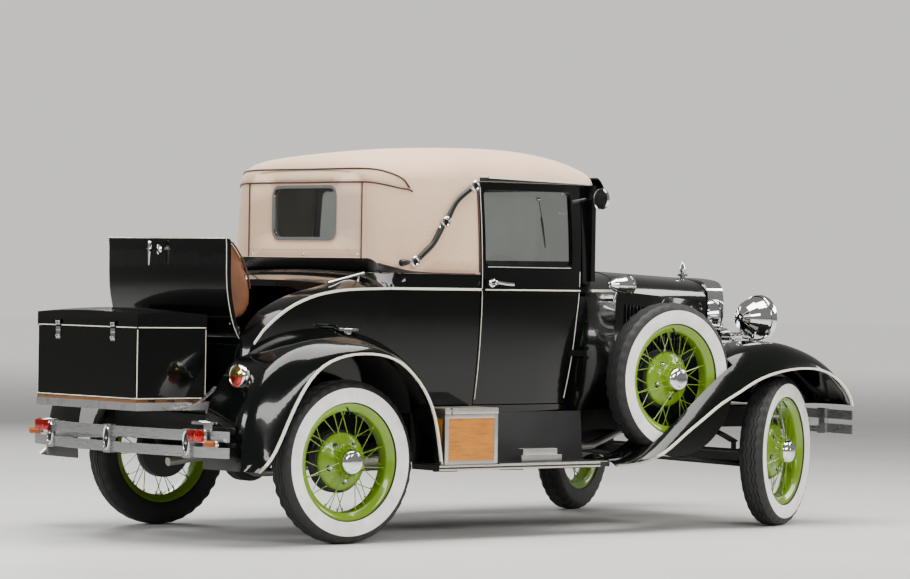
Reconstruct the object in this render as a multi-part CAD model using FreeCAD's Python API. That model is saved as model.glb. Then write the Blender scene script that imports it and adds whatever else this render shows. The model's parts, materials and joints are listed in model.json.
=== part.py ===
"""Closed two-seat coupe of about 1930 with a fabric-covered top, an open rumble seat, a rear trunk on a rack,
side-mounted spares and wire wheels. Millimetres, +X forward, +Y to the car's left, +Z up.

Everything is laid out from the point on the ground below the rear axle; export() then moves it so that the
car's origin is at the bottom centre of the whole car.
"""
import FreeCAD
import Part
import math
import os
from FreeCAD import Vector as V

# Main dimensions
wheelbase = 2629.0
track = 1422.0
tyre_radius = 362.0
tyre_width = 121.0
rim_radius = 258.0
steer_rest_deg = 25.0
front_reach = 3219.0
rear_reach = 893.0
fit_gap = 0.3
panel_gap = 5.0
overrun = 60.0

# Body
body_half_width = 645.0
tail_x = -430.0
roof_rear_x = 308.0
b_pillar_x = 836.0
a_pillar_x = 1486.0
windscreen_x = 1562.0
cowl_front_x = 1835.0
body_foot = 565.0
body_wall = 30.0
floor_thickness = 30.0
belt_height = 1135.0
quarter_top = 1195.0
door_sill = 602.0
window_sill = 1238.0
window_head = 1584.0
rail_height = 1616.0
roof_top = 1790.0
roof_rear_top = 1664.0
roof_wall = 22.0
roof_corner = 150.0
roof_front_x = 1606.0
cowl_top = 1232.0

# Rumble compartment and its lid
lid_front_x = 80.0
lid_front_z = 1154.0
lid_foot_x = -396.0
lid_half_width = 465.0
lid_wall = 22.0
lid_hinge_x = -315.0
lid_hinge_z = 907.0
lid_open_deg = 78.0
bulkhead_x = 300.0

# Bonnet and radiator
radiator_rear_x = 2634.0
radiator_depth = 106.0
radiator_half_width = 246.0
radiator_top = 1196.0
radiator_foot = 600.0
radiator_rim = 26.0
bonnet_rear_half_width = 452.0
bonnet_rear_seam = 1128.0
bonnet_front_seam = 1080.0
bonnet_foot = 780.0
bonnet_wall = 5.0

# Chassis
rail_half_gauge = 352.0
rail_width = 48.0
rail_tall = 100.0
rail_rear_x = -470.0
rail_front_x = 2860.0
kingpin_half_gauge = 618.0
kingpin_radius = 11.0
steering_arm = 150.0

DATUM = V(-(front_reach - rear_reach) / 2, 0, 0)
ORIGIN = V(0, 0, 0)
X_AXIS = V(1, 0, 0)
Y_AXIS = V(0, 1, 0)
Z_AXIS = V(0, 0, 1)


def export(name, *shapes):
    """Moves the solids to the car's origin and writes them as one named piece."""
    found = []
    for shape in shapes:
        moved = shape.copy()
        moved.translate(DATUM)
        found.extend(moved.Solids)
    made = found[0] if len(found) == 1 else Part.makeCompound(found)
    made.exportStep("parts/" + name + ".step")
    bad = [s for s in found if not s.isValid() or s.Volume <= 0]
    print(name, len(found), "BAD" if bad else "")


def block(x0, x1, y0, y1, z0, z1):
    """A box between two corners."""
    low = V(min(x0, x1), min(y0, y1), min(z0, z1))
    return Part.makeBox(abs(x1 - x0), abs(y1 - y0), abs(z1 - z0), low)


def rod(start, end, radius, end_radius=None):
    """A round bar or cone between two points."""
    along = end - start
    if end_radius is None or end_radius == radius:
        return Part.makeCylinder(radius, along.Length, start, along)
    return Part.makeCone(radius, end_radius, along.Length, start, along)


def mirrored(shape):
    """The same piece on the other side of the car."""
    return shape.mirror(ORIGIN, Y_AXIS)


def both(shape):
    """A piece and its mirror image."""
    return [shape, mirrored(shape)]


def joined(*shapes):
    """One shape from pieces that touch or overlap."""
    made = shapes[0].multiFuse(list(shapes[1:])) if len(shapes) > 1 else shapes[0]
    return made.removeSplitter()


def largest(shape):
    """The biggest solid of a cut shape, without the scraps beyond the cutter."""
    return max(shape.Solids, key=lambda solid: solid.Volume)


def polygon(points):
    """A closed wire of straight edges."""
    return Part.makePolygon(points + [points[0]])


def prism_y(outline, y0, y1):
    """A closed (x, z) outline stretched from y0 to y1."""
    return Part.Face(polygon([V(x, y0, z) for x, z in outline])).extrude(V(0, y1 - y0, 0))


def prism_x(outline, x0, x1):
    """A closed (y, z) outline stretched from x0 to x1."""
    return Part.Face(polygon([V(x0, y, z) for y, z in outline])).extrude(V(x1 - x0, 0, 0))


def spun(profile, centre, axis=Y_AXIS, radial=Z_AXIS):
    """A closed (along, radius) profile turned about an axis through a centre."""
    wire = polygon([centre + axis * a + radial * r for a, r in profile])
    return Part.Face(wire).revolve(centre, axis, 360)


def spline(points):
    """A smooth edge through points."""
    curve = Part.BSplineCurve()
    curve.interpolate(points)
    return curve.toShape()


def smooth(shares, t):
    """The value at t of a smooth curve through (t, value) shares."""
    if t <= shares[0][0]:
        return shares[0][1]
    if t >= shares[-1][0]:
        return shares[-1][1]
    last = len(shares) - 1
    slopes = []
    for i in range(last + 1):
        a = shares[max(i - 1, 0)]
        b = shares[min(i + 1, last)]
        slopes.append((b[1] - a[1]) / (b[0] - a[0]))
    i = max(k for k in range(last) if shares[k][0] <= t)
    (t0, v0), (t1, v1) = shares[i], shares[i + 1]
    span = t1 - t0
    u = (t - t0) / span
    return ((2 * u**3 - 3 * u**2 + 1) * v0 + (u**3 - 2 * u**2 + u) * span * slopes[i]
            + (3 * u**2 - 2 * u**3) * v1 + (u**3 - u**2) * span * slopes[i + 1])


def spread(first, last, count):
    """Evenly spaced values."""
    return [first + (last - first) * i / (count - 1) for i in range(count)]


def between(a, b, share):
    """The value a share of the way from a to b."""
    return a + (b - a) * share


def loft(wires, ruled=False):
    """A closed solid through closed wires."""
    return Part.makeLoft(wires, True, ruled)


def turned(shape, point, axis, degrees):
    """A copy turned about an axis."""
    made = shape.copy()
    made.rotate(point, axis, degrees)
    return made


def swept_strip(points, inward, thickness, height_vector):
    """A bent flat bar: a smooth run of points, thickened inward and stretched along a vector."""
    under = [p + inward * thickness for p in points]
    wire = Part.Wire([spline(points), Part.makeLine(points[-1], under[-1]), spline(under[::-1]),
                      Part.makeLine(under[0], points[0])])
    return Part.Face(wire).extrude(height_vector)


# Body surface: half width at a place along the car and a height
plan_shares = [(0.0, 0.80), (0.02, 0.845), (0.10, 0.905), (0.19, 0.938), (0.32, 0.975), (0.56, 1.0),
               (0.72, 0.99), (0.85, 0.93), (1.0, 0.703)]
lower_tuck_shares = [(0.0, 0.915), (0.25, 0.95), (0.6, 0.985), (1.0, 1.0)]
upper_tuck_shares = [(0.0, 1.0), (0.5, 0.985), (1.0, 0.95)]
deck_shares = [(0.0, 0.33), (0.016, 0.44), (0.032, 0.515), (0.054, 0.573), (0.089, 0.645), (0.162, 0.743),
               (0.214, 0.79), (0.39, 0.888), (0.555, 0.942), (0.69, 0.984), (0.85, 1.03), (1.0, 1.085)]
bead_shares = [(0.0, 0.24), (0.02, 0.35), (0.095, 0.565), (0.19, 0.70), (0.31, 0.81), (0.446, 0.883),
               (0.56, 0.918), (0.71, 0.942), (1.0, 0.955)]
deck_length = roof_rear_x - tail_x
deck_rise = lid_front_z - body_foot


def plan_half_width(x):
    """Half width of the body at belt height."""
    return body_half_width * smooth(plan_shares, (x - tail_x) / (cowl_front_x - tail_x))


def side_y(x, z):
    """Half width of the body at a height."""
    if z <= belt_height:
        tuck = smooth(lower_tuck_shares, (z - body_foot) / (belt_height - body_foot))
    else:
        tuck = smooth(upper_tuck_shares, (z - belt_height) / (rail_height - belt_height))
    return plan_half_width(x) * tuck


def deck_z(x):
    """Height of the rear deck's edge beside the lid."""
    return body_foot + deck_rise * smooth(deck_shares, (x - tail_x) / deck_length)


def bead_z(x):
    """Height of the moulding that runs down round the tail."""
    return body_foot + deck_rise * smooth(bead_shares, (x - tail_x) / deck_length)


deck_crown = 14.0
mouth_rim = 3.0
shoulder_rise_share = 0.55


def tail_wire(x, inset):
    """A section of the rear body, drawn in by inset."""
    foot = body_foot + inset
    bead = bead_z(x) - inset / 2
    side = [(side_y(x, z) - inset, z) for z in spread(foot, bead, 5)]
    w = side[-1][0]
    edge_w = min(lid_half_width + mouth_rim, w - 2 * body_wall)
    edge_z = deck_z(x) - inset
    top = [(w, bead), (between(w, edge_w, 0.35), between(bead, edge_z, shoulder_rise_share)),
           (edge_w, edge_z)]
    crown = [V(x, -edge_w, edge_z), V(x, 0, edge_z + deck_crown), V(x, edge_w, edge_z)]
    edges = [spline([V(x, -a, b) for a, b in side]), spline([V(x, -a, b) for a, b in top]), spline(crown),
             spline([V(x, a, b) for a, b in top][::-1]), spline([V(x, a, b) for a, b in side][::-1]),
             Part.makeLine(V(x, side[0][0], foot), V(x, -side[0][0], foot))]
    return Part.Wire(edges)


tail_station_shares = [0.0, 0.016, 0.045, 0.09, 0.16, 0.26, 0.39, 0.55, 0.69, 0.85, 1.0]


def tail_solid(inset, x0, x1):
    """The rear body as one block between two places."""
    return loft([tail_wire(between(x0, x1, s), inset) for s in tail_station_shares])


def tub_wire(x, inset, top):
    """A section of the body below the windows, drawn in by inset."""
    foot = body_foot + inset
    side = [V(x, -(side_y(x, z) - inset), z) for z in spread(foot, top, 6)]
    far = [V(p.x, -p.y, p.z) for p in side]
    return Part.Wire([spline(side), Part.makeLine(side[-1], far[-1]), spline(far[::-1]),
                      Part.makeLine(far[0], side[0])])


def cowl_wire(x, inset):
    """A section of the scuttle, with its crowned top."""
    foot = body_foot + inset
    share = (x - windscreen_x) / (cowl_front_x - windscreen_x)
    belt = between(belt_height, bonnet_rear_seam, share) - inset / 2
    side = [V(x, -(side_y(x, z) - inset), z) for z in spread(foot, belt, 5)]
    w = -side[-1].y
    top = cowl_top - inset
    roll = [V(x, -w, belt), V(x, -w * 0.90, between(belt, top, 0.52)),
            V(x, -w * 0.55, between(belt, top, 0.88)),
            V(x, 0, top)]
    over = roll + [V(p.x, -p.y, p.z) for p in roll[-2::-1]]
    far = [V(p.x, -p.y, p.z) for p in side]
    return Part.Wire([spline(side), spline(over), spline(far[::-1]), Part.makeLine(far[0], side[0])])


def side_slab(x0, x1, z0, z1, outer, inner, stations, levels):
    """A shell of the right-hand body side between two insets."""
    wires = []
    for x in spread(x0, x1, stations):
        out = [V(x, -(side_y(x, z) - outer), z) for z in spread(z0, z1, levels)]
        back = [V(x, -(side_y(x, z) - inner), z) for z in spread(z0, z1, levels)]
        wires.append(Part.Wire([spline(out), Part.makeLine(out[-1], back[-1]), spline(back[::-1]),
                                Part.makeLine(back[0], out[0])]))
    return loft(wires)


door_front_shares = [(0.0, 0.885), (0.52, 0.982), (1.0, 1.0)]


def door_outline(gap):
    """The (x, z) outline of the door, grown by gap."""
    foot = door_sill - gap
    head = rail_height + gap
    front = []
    for share in spread(0, 1, 5):
        front.append((door_front(between(door_sill, rail_height, share)) + gap, between(foot, head, share)))
    return [(b_pillar_x - gap, head), (b_pillar_x - gap, foot)] + front


# Door hinges: barrels outside the body, on a pin that stands on the front post
door_hinge_x = 1500.0
door_hinge_y = 616.0
door_hinge_heights = [836.0, 1131.0]
barrel_radius = 9.0
barrel_pin = 5.0
barrel_half = 14.0
barrel_end = 30.0
hinge_leaf_lap = 30.0
hinge_leaf_stand = 4.0


def door_front(z):
    """Where the door's front edge is at a height."""
    share = (z - door_sill) / (rail_height - door_sill)
    return b_pillar_x + (a_pillar_x - b_pillar_x) * smooth(door_front_shares, share)


def barrel(z0, z1, radius):
    """A length of a right-hand door hinge's barrel."""
    return rod(V(door_hinge_x, -door_hinge_y, z0), V(door_hinge_x, -door_hinge_y, z1), radius)


def post_hinge(z):
    """The fixed half of a door hinge: its pin, two end knuckles and their feet on the post."""
    pieces = [barrel(z - barrel_end, z + barrel_end, barrel_pin)]
    for z0, z1 in ((z - barrel_end, z - barrel_half - fit_gap), (z + barrel_half + fit_gap, z + barrel_end)):
        pieces.append(barrel(z0, z1, barrel_radius))
        inner = side_y(door_hinge_x + barrel_radius, z) - body_wall / 2
        pieces.append(block(door_hinge_x, door_hinge_x + barrel_radius * 2, -door_hinge_y - hinge_leaf_stand,
                            -inner,
                            z0, z1))
    return joined(*pieces)


def door_hinge(z):
    """The moving half of a door hinge: its knuckle and the leaf on the door's skin."""
    x = door_front(z)
    surface = side_y(x, z)
    outline = [(door_hinge_x, -door_hinge_y - hinge_leaf_stand),
               (door_hinge_x, -door_hinge_y + hinge_leaf_stand),
               (x + hinge_leaf_stand, -surface - hinge_leaf_stand), (x - hinge_leaf_stand,
                                                                     -surface + hinge_leaf_stand),
               (x - hinge_leaf_lap, -surface + hinge_leaf_stand), (x - hinge_leaf_lap,
                                                                   -surface - hinge_leaf_stand)]
    low = z - barrel_half
    leaf = Part.Face(polygon([V(a, b, low) for a, b in outline])).extrude(V(0, 0, 2 * barrel_half))
    return leaf.fuse(barrel(low, z + barrel_half, barrel_radius)).cut(
        barrel(low, z + barrel_half, barrel_pin + fit_gap))


# Body shell
firewall = 34.0
bulkhead_wall = 20.0
opening_gap = 7.0
pin_radius = 8.0
post_wall = 34.0
lid_opening_foot = lid_foot_x - opening_gap
cabin_front_x = cowl_front_x - firewall
post_rear_x = a_pillar_x + panel_gap
roof_foot = rail_height + panel_gap
hinge_pin_inner = lid_half_width - body_wall
tail_block = tail_solid(0, tail_x, roof_rear_x)


def quarter_corner():
    """What is cut from the right quarter's rear corner above the belt, to round it like the top."""
    x = roof_rear_x + roof_corner
    y = -(side_y(x, belt_height) - roof_corner)
    square = block(roof_rear_x - overrun, x, y - 2 * roof_corner, y, belt_height - panel_gap, roof_top)
    return square.cut(rod(V(x, y, belt_height - 2 * panel_gap), V(x, y, roof_top + overrun), roof_corner))


quarter_end = b_pillar_x - panel_gap
quarter_square = loft([tub_wire(x, 0, quarter_top) for x in spread(roof_rear_x, quarter_end, 4)])
quarter_block = quarter_square.cut(quarter_corner()).cut(mirrored(quarter_corner()))
door_block = loft([tub_wire(x, 0, belt_height) for x in spread(quarter_end, windscreen_x, 5)])
cowl_block = loft([cowl_wire(x, 0) for x in spread(windscreen_x, cowl_front_x, 4)])
body_solid = tail_block.multiFuse([quarter_block, door_block, cowl_block])
body_grown = tail_solid(-fit_gap, tail_x, roof_rear_x).multiFuse(
    [loft([tub_wire(x, -fit_gap, quarter_top) for x in spread(roof_rear_x, quarter_end, 4)]),
     loft([tub_wire(x, -fit_gap, belt_height) for x in spread(quarter_end, windscreen_x, 5)]),
     loft([cowl_wire(x, -fit_gap) for x in spread(windscreen_x, cowl_front_x, 4)])])


def lid_hinge_pin():
    """A hinge pin of the rumble lid, out to the body's side wall."""
    outer = side_y(lid_hinge_x, lid_hinge_z) - body_wall / 2
    return rod(V(lid_hinge_x, -hinge_pin_inner, lid_hinge_z), V(lid_hinge_x, -outer, lid_hinge_z), pin_radius)


def body_shell():
    """The steel body: scuttle, door frames, quarters and tail, hollow and open at the top."""
    post = side_slab(post_rear_x, windscreen_x, belt_height - body_wall, roof_foot, 0, post_wall, 3, 6)
    rumble = tail_solid(body_wall, tail_x, roof_rear_x).common(
        block(lid_opening_foot, bulkhead_x - bulkhead_wall, -body_half_width, body_half_width, 0, roof_top))
    mouth = block(lid_opening_foot, lid_front_x, -lid_half_width, lid_half_width, lid_hinge_z - overrun,
                  roof_top)
    tail = tail_block.cut(mouth).cut(rumble)
    shell = tail.multiFuse([quarter_block, door_block, cowl_block] + both(post))
    high = quarter_top + overrun
    cabin = loft([tub_wire(x, body_wall, high) for x in spread(bulkhead_x, windscreen_x, 6)])
    scuttle = loft([cowl_wire(x, body_wall) for x in spread(windscreen_x - fit_gap, cabin_front_x, 4)])
    shell = shell.cut(cabin.fuse(scuttle))
    door_hole = prism_y(door_outline(panel_gap), -body_half_width - overrun, -plan_half_width(cowl_front_x))
    shell = shell.cut(door_hole).cut(mirrored(door_hole))
    pins = both(lid_hinge_pin())
    for z in door_hinge_heights:
        pins += both(post_hinge(z))
    return shell.multiFuse(pins)


# Fabric top
roof_top_shares = [(0.0, 0.0), (0.018, 0.28), (0.06, 0.50), (0.20, 0.73), (0.38, 0.92), (0.57, 1.0),
                   (0.76, 0.97), (0.92, 0.70), (1.0, 0.42)]
arch_shares = [(1.0, 0.0), (0.985, 0.22), (0.94, 0.48), (0.84, 0.72), (0.66, 0.88), (0.35, 0.975)]
rear_window_half_width = 232.0
rear_window_low = 1356.0
rear_window_high = 1580.0
window_corner = 38.0


def roof_half_width(x, z):
    """Half width of the top, rounded in at its rear corners."""
    reach = max(roof_rear_x + roof_corner - x, 0)
    return side_y(x, z) - roof_corner + math.sqrt(max(roof_corner**2 - reach**2, 0))


def roof_z(x):
    """Height of the top's centre line."""
    share = (x - roof_rear_x) / (roof_front_x - roof_rear_x)
    return roof_rear_top + (roof_top - roof_rear_top) * smooth(roof_top_shares, share)


def roof_wire(x, inset, foot):
    """A section of the top."""
    side = [V(x, -(roof_half_width(x, z) - inset), z) for z in spread(foot, rail_height, 4)]
    half = -side[-1].y
    rise = roof_z(x) - inset - rail_height
    over = [V(x, -half * w, rail_height + rise * h) for w, h in arch_shares]
    over = over + [V(x, 0, rail_height + rise)] + [V(p.x, -p.y, p.z) for p in over[::-1]]
    far = [V(p.x, -p.y, p.z) for p in side]
    return Part.Wire([spline(side), spline(over), spline(far[::-1]), Part.makeLine(far[0], side[0])])


roof_station_shares = [0.0, 0.006, 0.02, 0.045, 0.08, 0.1155, 0.2, 0.38, 0.57, 0.76, 0.88, 0.95, 1.0]


def rounded_window(x0, x1, half_width, low, high, corner):
    """A cutter for an opening in a cross wall, with round corners."""
    cutter = block(x0, x1, -half_width, half_width, low, high)
    edges = [e for e in cutter.Edges if abs(e.Vertexes[0].X - e.Vertexes[1].X) > abs(x1 - x0) / 2]
    return cutter.makeFillet(corner, edges)


def fabric_top():
    """The fixed top: its frame and fabric as one wall, with the rear window cut."""
    length = roof_front_x - roof_rear_x
    outer = loft([roof_wire(roof_rear_x + length * s, 0, quarter_top) for s in roof_station_shares])
    inner_x = [roof_rear_x + roof_wall + (windscreen_x - roof_rear_x - 2 * roof_wall) * s
               for s in roof_station_shares]
    inner = loft([roof_wire(x, roof_wall, quarter_top - overrun) for x in inner_x])
    under = block(quarter_end, roof_front_x + overrun, -roof_top, roof_top, 0, roof_foot)
    window = rounded_window(roof_rear_x - overrun, roof_rear_x + overrun, rear_window_half_width,
                            rear_window_low, rear_window_high, window_corner)
    return outer.cut(inner).cut(under).cut(window)


# Window frames and glass
bead_width = 14.0
bead_depth = 10.0
glass_thickness = 6.0
screen_half_width = 534.0
screen_foot = 1240.0
screen_skirt = 70.0
screen_bar = 24.0


def window_frames():
    """The rear window's plated bead and the windscreen's frame."""
    x0 = roof_rear_x - bead_depth / 2
    outer = rounded_window(x0, roof_rear_x, rear_window_half_width + bead_width,
                           rear_window_low - bead_width, rear_window_high + bead_width,
                           window_corner + bead_width)
    hole = rounded_window(x0 - overrun, roof_rear_x + overrun, rear_window_half_width,
                          rear_window_low, rear_window_high, window_corner)
    rear = outer.cut(hole)
    x1 = windscreen_x + screen_bar / 2
    x2 = windscreen_x - screen_bar / 2
    frame = block(x2, x1, -screen_half_width - overrun, screen_half_width + overrun,
                  screen_foot - screen_skirt,
                  roof_foot)
    cut = block(x2 - overrun, x1 + overrun, -screen_half_width + screen_bar, screen_half_width - screen_bar,
                screen_foot + screen_bar, roof_foot - screen_bar)
    return [rear, largest(frame.cut(cut).cut(SHELL))]


def window_glass():
    """The rear light and the windscreen's pane."""
    rear = rounded_window(roof_rear_x + fit_gap, roof_rear_x + fit_gap + glass_thickness,
                          rear_window_half_width - fit_gap, rear_window_low + fit_gap,
                          rear_window_high - fit_gap, window_corner)
    half = screen_half_width - screen_bar - fit_gap
    screen = block(windscreen_x - glass_thickness / 2, windscreen_x + glass_thickness / 2, -half, half,
                   screen_foot + screen_bar + fit_gap, roof_foot - screen_bar - fit_gap)
    return [rear, screen]


visor_thickness = 4.0
visor_half_width = 560.0
visor_shares = [(0.0, 0.0), (0.25, -0.10), (0.55, -0.36), (0.80, -0.68), (1.0, -1.0)]
visor_reach = 52.0
visor_drop = 58.0
visor_root = 1660.0


def sun_visor():
    """The curved outside visor over the windscreen."""
    points = [V(roof_front_x + fit_gap + visor_reach * a, -visor_half_width, visor_root + visor_drop * b)
              for a, b in visor_shares]
    return swept_strip(points, V(0, 0, -1), visor_thickness, V(0, 2 * visor_half_width, 0))


# Landau irons
iron_radius = 8.0
iron_joint = 17.0
iron_stand = 20.0
iron_top = (828.0 - 30.0, 1600.0)
iron_middle = (620.0, 1431.0)
iron_foot = (438.0, 1250.0)
iron_tail = (376.0, 1244.0)
iron_bow = 26.0


def landau_iron():
    """The folding brace on the top's side: two bowed arms, a knuckle and an eye at each end."""
    run = []
    for (x0, z0), (x1, z1), way in ((iron_top, iron_middle, 1), (iron_middle, iron_foot, -1),
                                    (iron_foot, iron_tail, 0)):
        length = math.hypot(x1 - x0, z1 - z0)
        for t in spread(0, 1, 7)[:-1]:
            bow = iron_bow * 4 * t * (1 - t) * way / length
            run.append((between(x0, x1, t) + (z1 - z0) * bow, between(z0, z1, t) - (x1 - x0) * bow))
    run.append(iron_tail)
    outline = offset_run(run, iron_radius) + offset_run(run, -iron_radius)[::-1]
    high = side_y(*iron_top) + iron_stand
    low = side_y(*iron_foot) + iron_stand

    def face_y(z):
        return -between(low, high, (z - iron_foot[1]) / (iron_top[1] - iron_foot[1]))
    bar = Part.Face(polygon([V(x, face_y(z), z) for x, z in outline])).extrude(V(0, iron_radius, 0))
    pieces = [bar]
    for (x, z), radius, root in ((iron_top, iron_joint, iron_stand),
                                 (iron_middle, iron_joint, iron_radius * 1.5),
                                 (iron_foot, iron_joint, iron_stand)):
        y = face_y(z)
        pieces.append(rod(V(x, y + root - fit_gap, z), V(x, y - iron_radius * 0.6, z), radius))
    return largest(joined(*pieces).cut(FABRIC))


# Rumble lid
lid_plate = 8.0
lid_boss = 16.0
lid_edge_gap = 5.0
backrest_foot_share = 0.12
backrest_thickness = 118.0
backrest_half_width = 436.0


def open_lid(shape):
    """Turns a piece from the closed lid to the open one of the photograph."""
    return turned(shape, V(lid_hinge_x, 0, lid_hinge_z), Y_AXIS, -lid_open_deg)


def deck_normal(x):
    """The deck's outward direction, in the plane of travel."""
    slope = (deck_z(x + panel_gap) - deck_z(x - panel_gap)) / (2 * panel_gap)
    length = math.sqrt(1 + slope**2)
    return V(-slope / length, 0, 1 / length)


def lid_hinge_plate(y):
    """A plate from the lid's skin down to its hinge pin, bored for it."""
    skin = [(x, deck_z(x) - lid_wall / 2) for x in (lid_hinge_x - 3 * lid_boss, lid_hinge_x + 2 * lid_boss)]
    outline = skin + [(lid_hinge_x + lid_boss, lid_hinge_z), (lid_hinge_x - lid_boss, lid_hinge_z)]
    near, far = V(lid_hinge_x, y - lid_plate / 2, lid_hinge_z), V(lid_hinge_x, y + lid_plate / 2, lid_hinge_z)
    plate = prism_y(outline, near.y, far.y).fuse(rod(near, far, lid_boss))
    return plate.cut(rod(near, far, pin_radius + fit_gap))


def rumble_lid():
    """The lid over the folding rear seat, with its two hinge plates."""
    half = lid_half_width - lid_edge_gap
    panel = tail_block.common(block(lid_foot_x + lid_edge_gap, lid_front_x - lid_edge_gap, -half, half,
                                    lid_hinge_z - overrun, roof_top))
    panel = panel.cut(tail_solid(lid_wall, tail_x, roof_rear_x))
    plates = [lid_hinge_plate(side * (hinge_pin_inner + lid_plate)) for side in (-1, 1)]
    return open_lid(panel.multiFuse(plates))


backrest_shares = [(0.0, 0.45), (0.10, 0.80), (0.35, 1.0), (0.65, 0.85), (0.9, 0.45), (1.0, 0.2)]


def rumble_backrest():
    """The padded back of the rumble seat, carried by the lid."""
    x0 = lid_foot_x + (lid_front_x - lid_foot_x) * backrest_foot_share + lid_boss * 4
    x1 = lid_front_x - lid_edge_gap * 4
    near = []
    far = []
    for share in spread(0, 1, 8):
        x = between(x0, x1, share)
        n = deck_normal(x)
        base = V(x, -backrest_half_width, deck_z(x)) - n * lid_wall
        near.append(base + n * lid_wall / 2)
        far.append(base - n * backrest_thickness * smooth(backrest_shares, share))
    wire = Part.Wire([spline(near), Part.makeLine(near[-1], far[-1]), spline(far[::-1]),
                      Part.makeLine(far[0], near[0])])
    pad = Part.Face(wire).extrude(V(0, 2 * backrest_half_width, 0))
    return open_lid(largest(pad.common(tail_solid(lid_wall + fit_gap, tail_x, roof_rear_x))))


# Seats
cabin_cushion = (610.0, 1130.0, 760.0, 885.0)
cabin_back = (430.0, 630.0, 800.0, 1290.0)
cabin_seat_half_width = 540.0
seat_lean = 80.0
seat_corner = 30.0
seat_base_inset = 24.0
rumble_cushion = (-235.0, 110.0, 700.0, 835.0)
rumble_seat_half_width = 430.0


def cushion(x0, x1, half_width, z0, z1, lean):
    """A seat pad with rounded long edges."""
    pad = prism_y([(x0, z0), (x1, z0), (x1 - lean, z1), (x0 - lean, z1)], -half_width, half_width)
    edges = [e for e in pad.Edges if abs(e.Vertexes[0].Y - e.Vertexes[1].Y) > half_width]
    return pad.makeFillet(seat_corner, edges)


def cabin_seat():
    """The bench in the cabin: a cushion on its riser and a leaning back."""
    x0, x1, z0, z1 = cabin_cushion
    base = block(x0 + seat_base_inset, x1 - seat_base_inset, -cabin_seat_half_width + seat_base_inset,
                 cabin_seat_half_width - seat_base_inset, body_foot + floor_thickness + fit_gap, z0)
    back = cushion(cabin_back[0] + seat_lean, cabin_back[1], cabin_seat_half_width, cabin_back[2],
                   cabin_back[3], seat_lean)
    return joined(cushion(x0, x1, cabin_seat_half_width, z0, z1, 0), base, back)


def rumble_seat():
    """The rumble seat's cushion on its riser."""
    x0, x1, z0, z1 = rumble_cushion
    base = block(x0 + seat_base_inset, x1 - seat_base_inset, -rumble_seat_half_width + seat_base_inset,
                 rumble_seat_half_width - seat_base_inset, tail_floor_z + fit_gap, z0)
    return joined(cushion(x0, x1, rumble_seat_half_width, z0, z1, 0), base)


tail_floor_z = body_foot + floor_thickness

# Doors
door_wall = 30.0
window_rear_x = 864.0
window_front_x = 1415.0
door_window_corner = 26.0
handle_x = 876.0
handle_z = 1158.0
handle_length = 96.0
handle_radius = 7.0
handle_stand = 24.0


def door_window(gap, y0, y1):
    """The window opening's cutter, grown by gap."""
    x0, x1 = window_rear_x - gap, window_front_x + gap
    z0, z1 = window_sill - gap, window_head + gap
    cutter = block(x0, x1, y0, y1, z0, z1)
    edges = [e for e in cutter.Edges if abs(e.Vertexes[0].Y - e.Vertexes[1].Y) > abs(y1 - y0) / 2]
    return cutter.makeFillet(door_window_corner, edges)


def door():
    """The right door with its window frame and handle."""
    slab = side_slab(b_pillar_x - panel_gap, a_pillar_x + panel_gap, door_sill - panel_gap,
                     rail_height + panel_gap, 0, door_wall, 5, 9)
    y_out = -body_half_width - overrun
    y_in = -plan_half_width(cowl_front_x)
    panel = slab.common(prism_y(door_outline(0), y_out, y_in))
    panel = panel.cut(door_window(0, y_out, y_in))
    surface = side_y(handle_x, handle_z)
    post = rod(V(handle_x, -surface + door_wall / 2, handle_z),
               V(handle_x, -surface - handle_stand, handle_z),
               handle_radius)
    grip = rod(V(handle_x - handle_radius, -surface - handle_stand, handle_z),
               V(handle_x + handle_length, -surface - handle_stand, handle_z), handle_radius)
    return panel.multiFuse([post, grip] + [door_hinge(z) for z in door_hinge_heights])


def door_glass():
    """The pane in the right door."""
    inner = door_wall / 2 + glass_thickness / 2
    slab = side_slab(window_rear_x - panel_gap, window_front_x + panel_gap, window_sill - panel_gap,
                     window_head + panel_gap, door_wall / 2 - glass_thickness / 2, inner, 3, 4)
    return slab.common(door_window(-fit_gap, -body_half_width - overrun, -plan_half_width(cowl_front_x)))


# Wheels: profiles are (outboard of the wheel's middle plane, radius)
tyre_shares = [(0.0, 1.0), (0.26, 0.995), (0.44, 0.965), (0.495, 0.915), (0.5, 0.85), (0.465, 0.775),
               (0.36, 0.714), (0.33, 0.6905)]
flange_half = 47.0
flange_wall = 2.7
rim_base_radius = 249.6
rim_well_radius = 223.0
rim_well_half = 28.0
rim_slope_half = 37.0
hub_profile = [(-30.0, 0.0), (-30.0, 133.0), (-66.0, 133.0), (-66.0, 140.0), (-22.0, 140.0), (-18.0, 129.0),
               (-6.0, 129.0), (2.0, 119.0), (14.0, 82.0), (30.0, 64.0), (62.0, 57.0), (80.0, 52.0), (90.0,
                                                                                                     34.0),
               (94.0, 0.0)]
spoke_count = 30
spoke_side = 5.0
outer_spoke_hub = (50.0, 56.0)
inner_spoke_hub = (-12.0, 122.0)
outer_spoke_rim = 14.0
inner_spoke_rim = -12.0
spoke_lean_deg = 15.0


def tyre():
    """A tyre about the Y axis, the same on both sides."""
    half = [(tyre_width * a, tyre_radius * r) for a, r in tyre_shares]
    return spun(half + [(-a, r) for a, r in half[:0:-1]], ORIGIN)


def spoke(turn, hub_place, rim_a, lean):
    """One wire spoke from the hub to the rim."""
    a0, r0 = hub_place
    t0, t1 = math.radians(turn + lean), math.radians(turn)
    start = V(r0 * math.sin(t0), a0, r0 * math.cos(t0))
    reach = rim_well_radius + spoke_side
    end = V(reach * math.sin(t1), rim_a, reach * math.cos(t1))
    along = end - start
    bar = Part.makeBox(spoke_side, spoke_side, along.Length, V(-spoke_side / 2, -spoke_side / 2, 0))
    bar.Placement = FreeCAD.Placement(start, FreeCAD.Rotation(Z_AXIS, along))
    return bar


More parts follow.
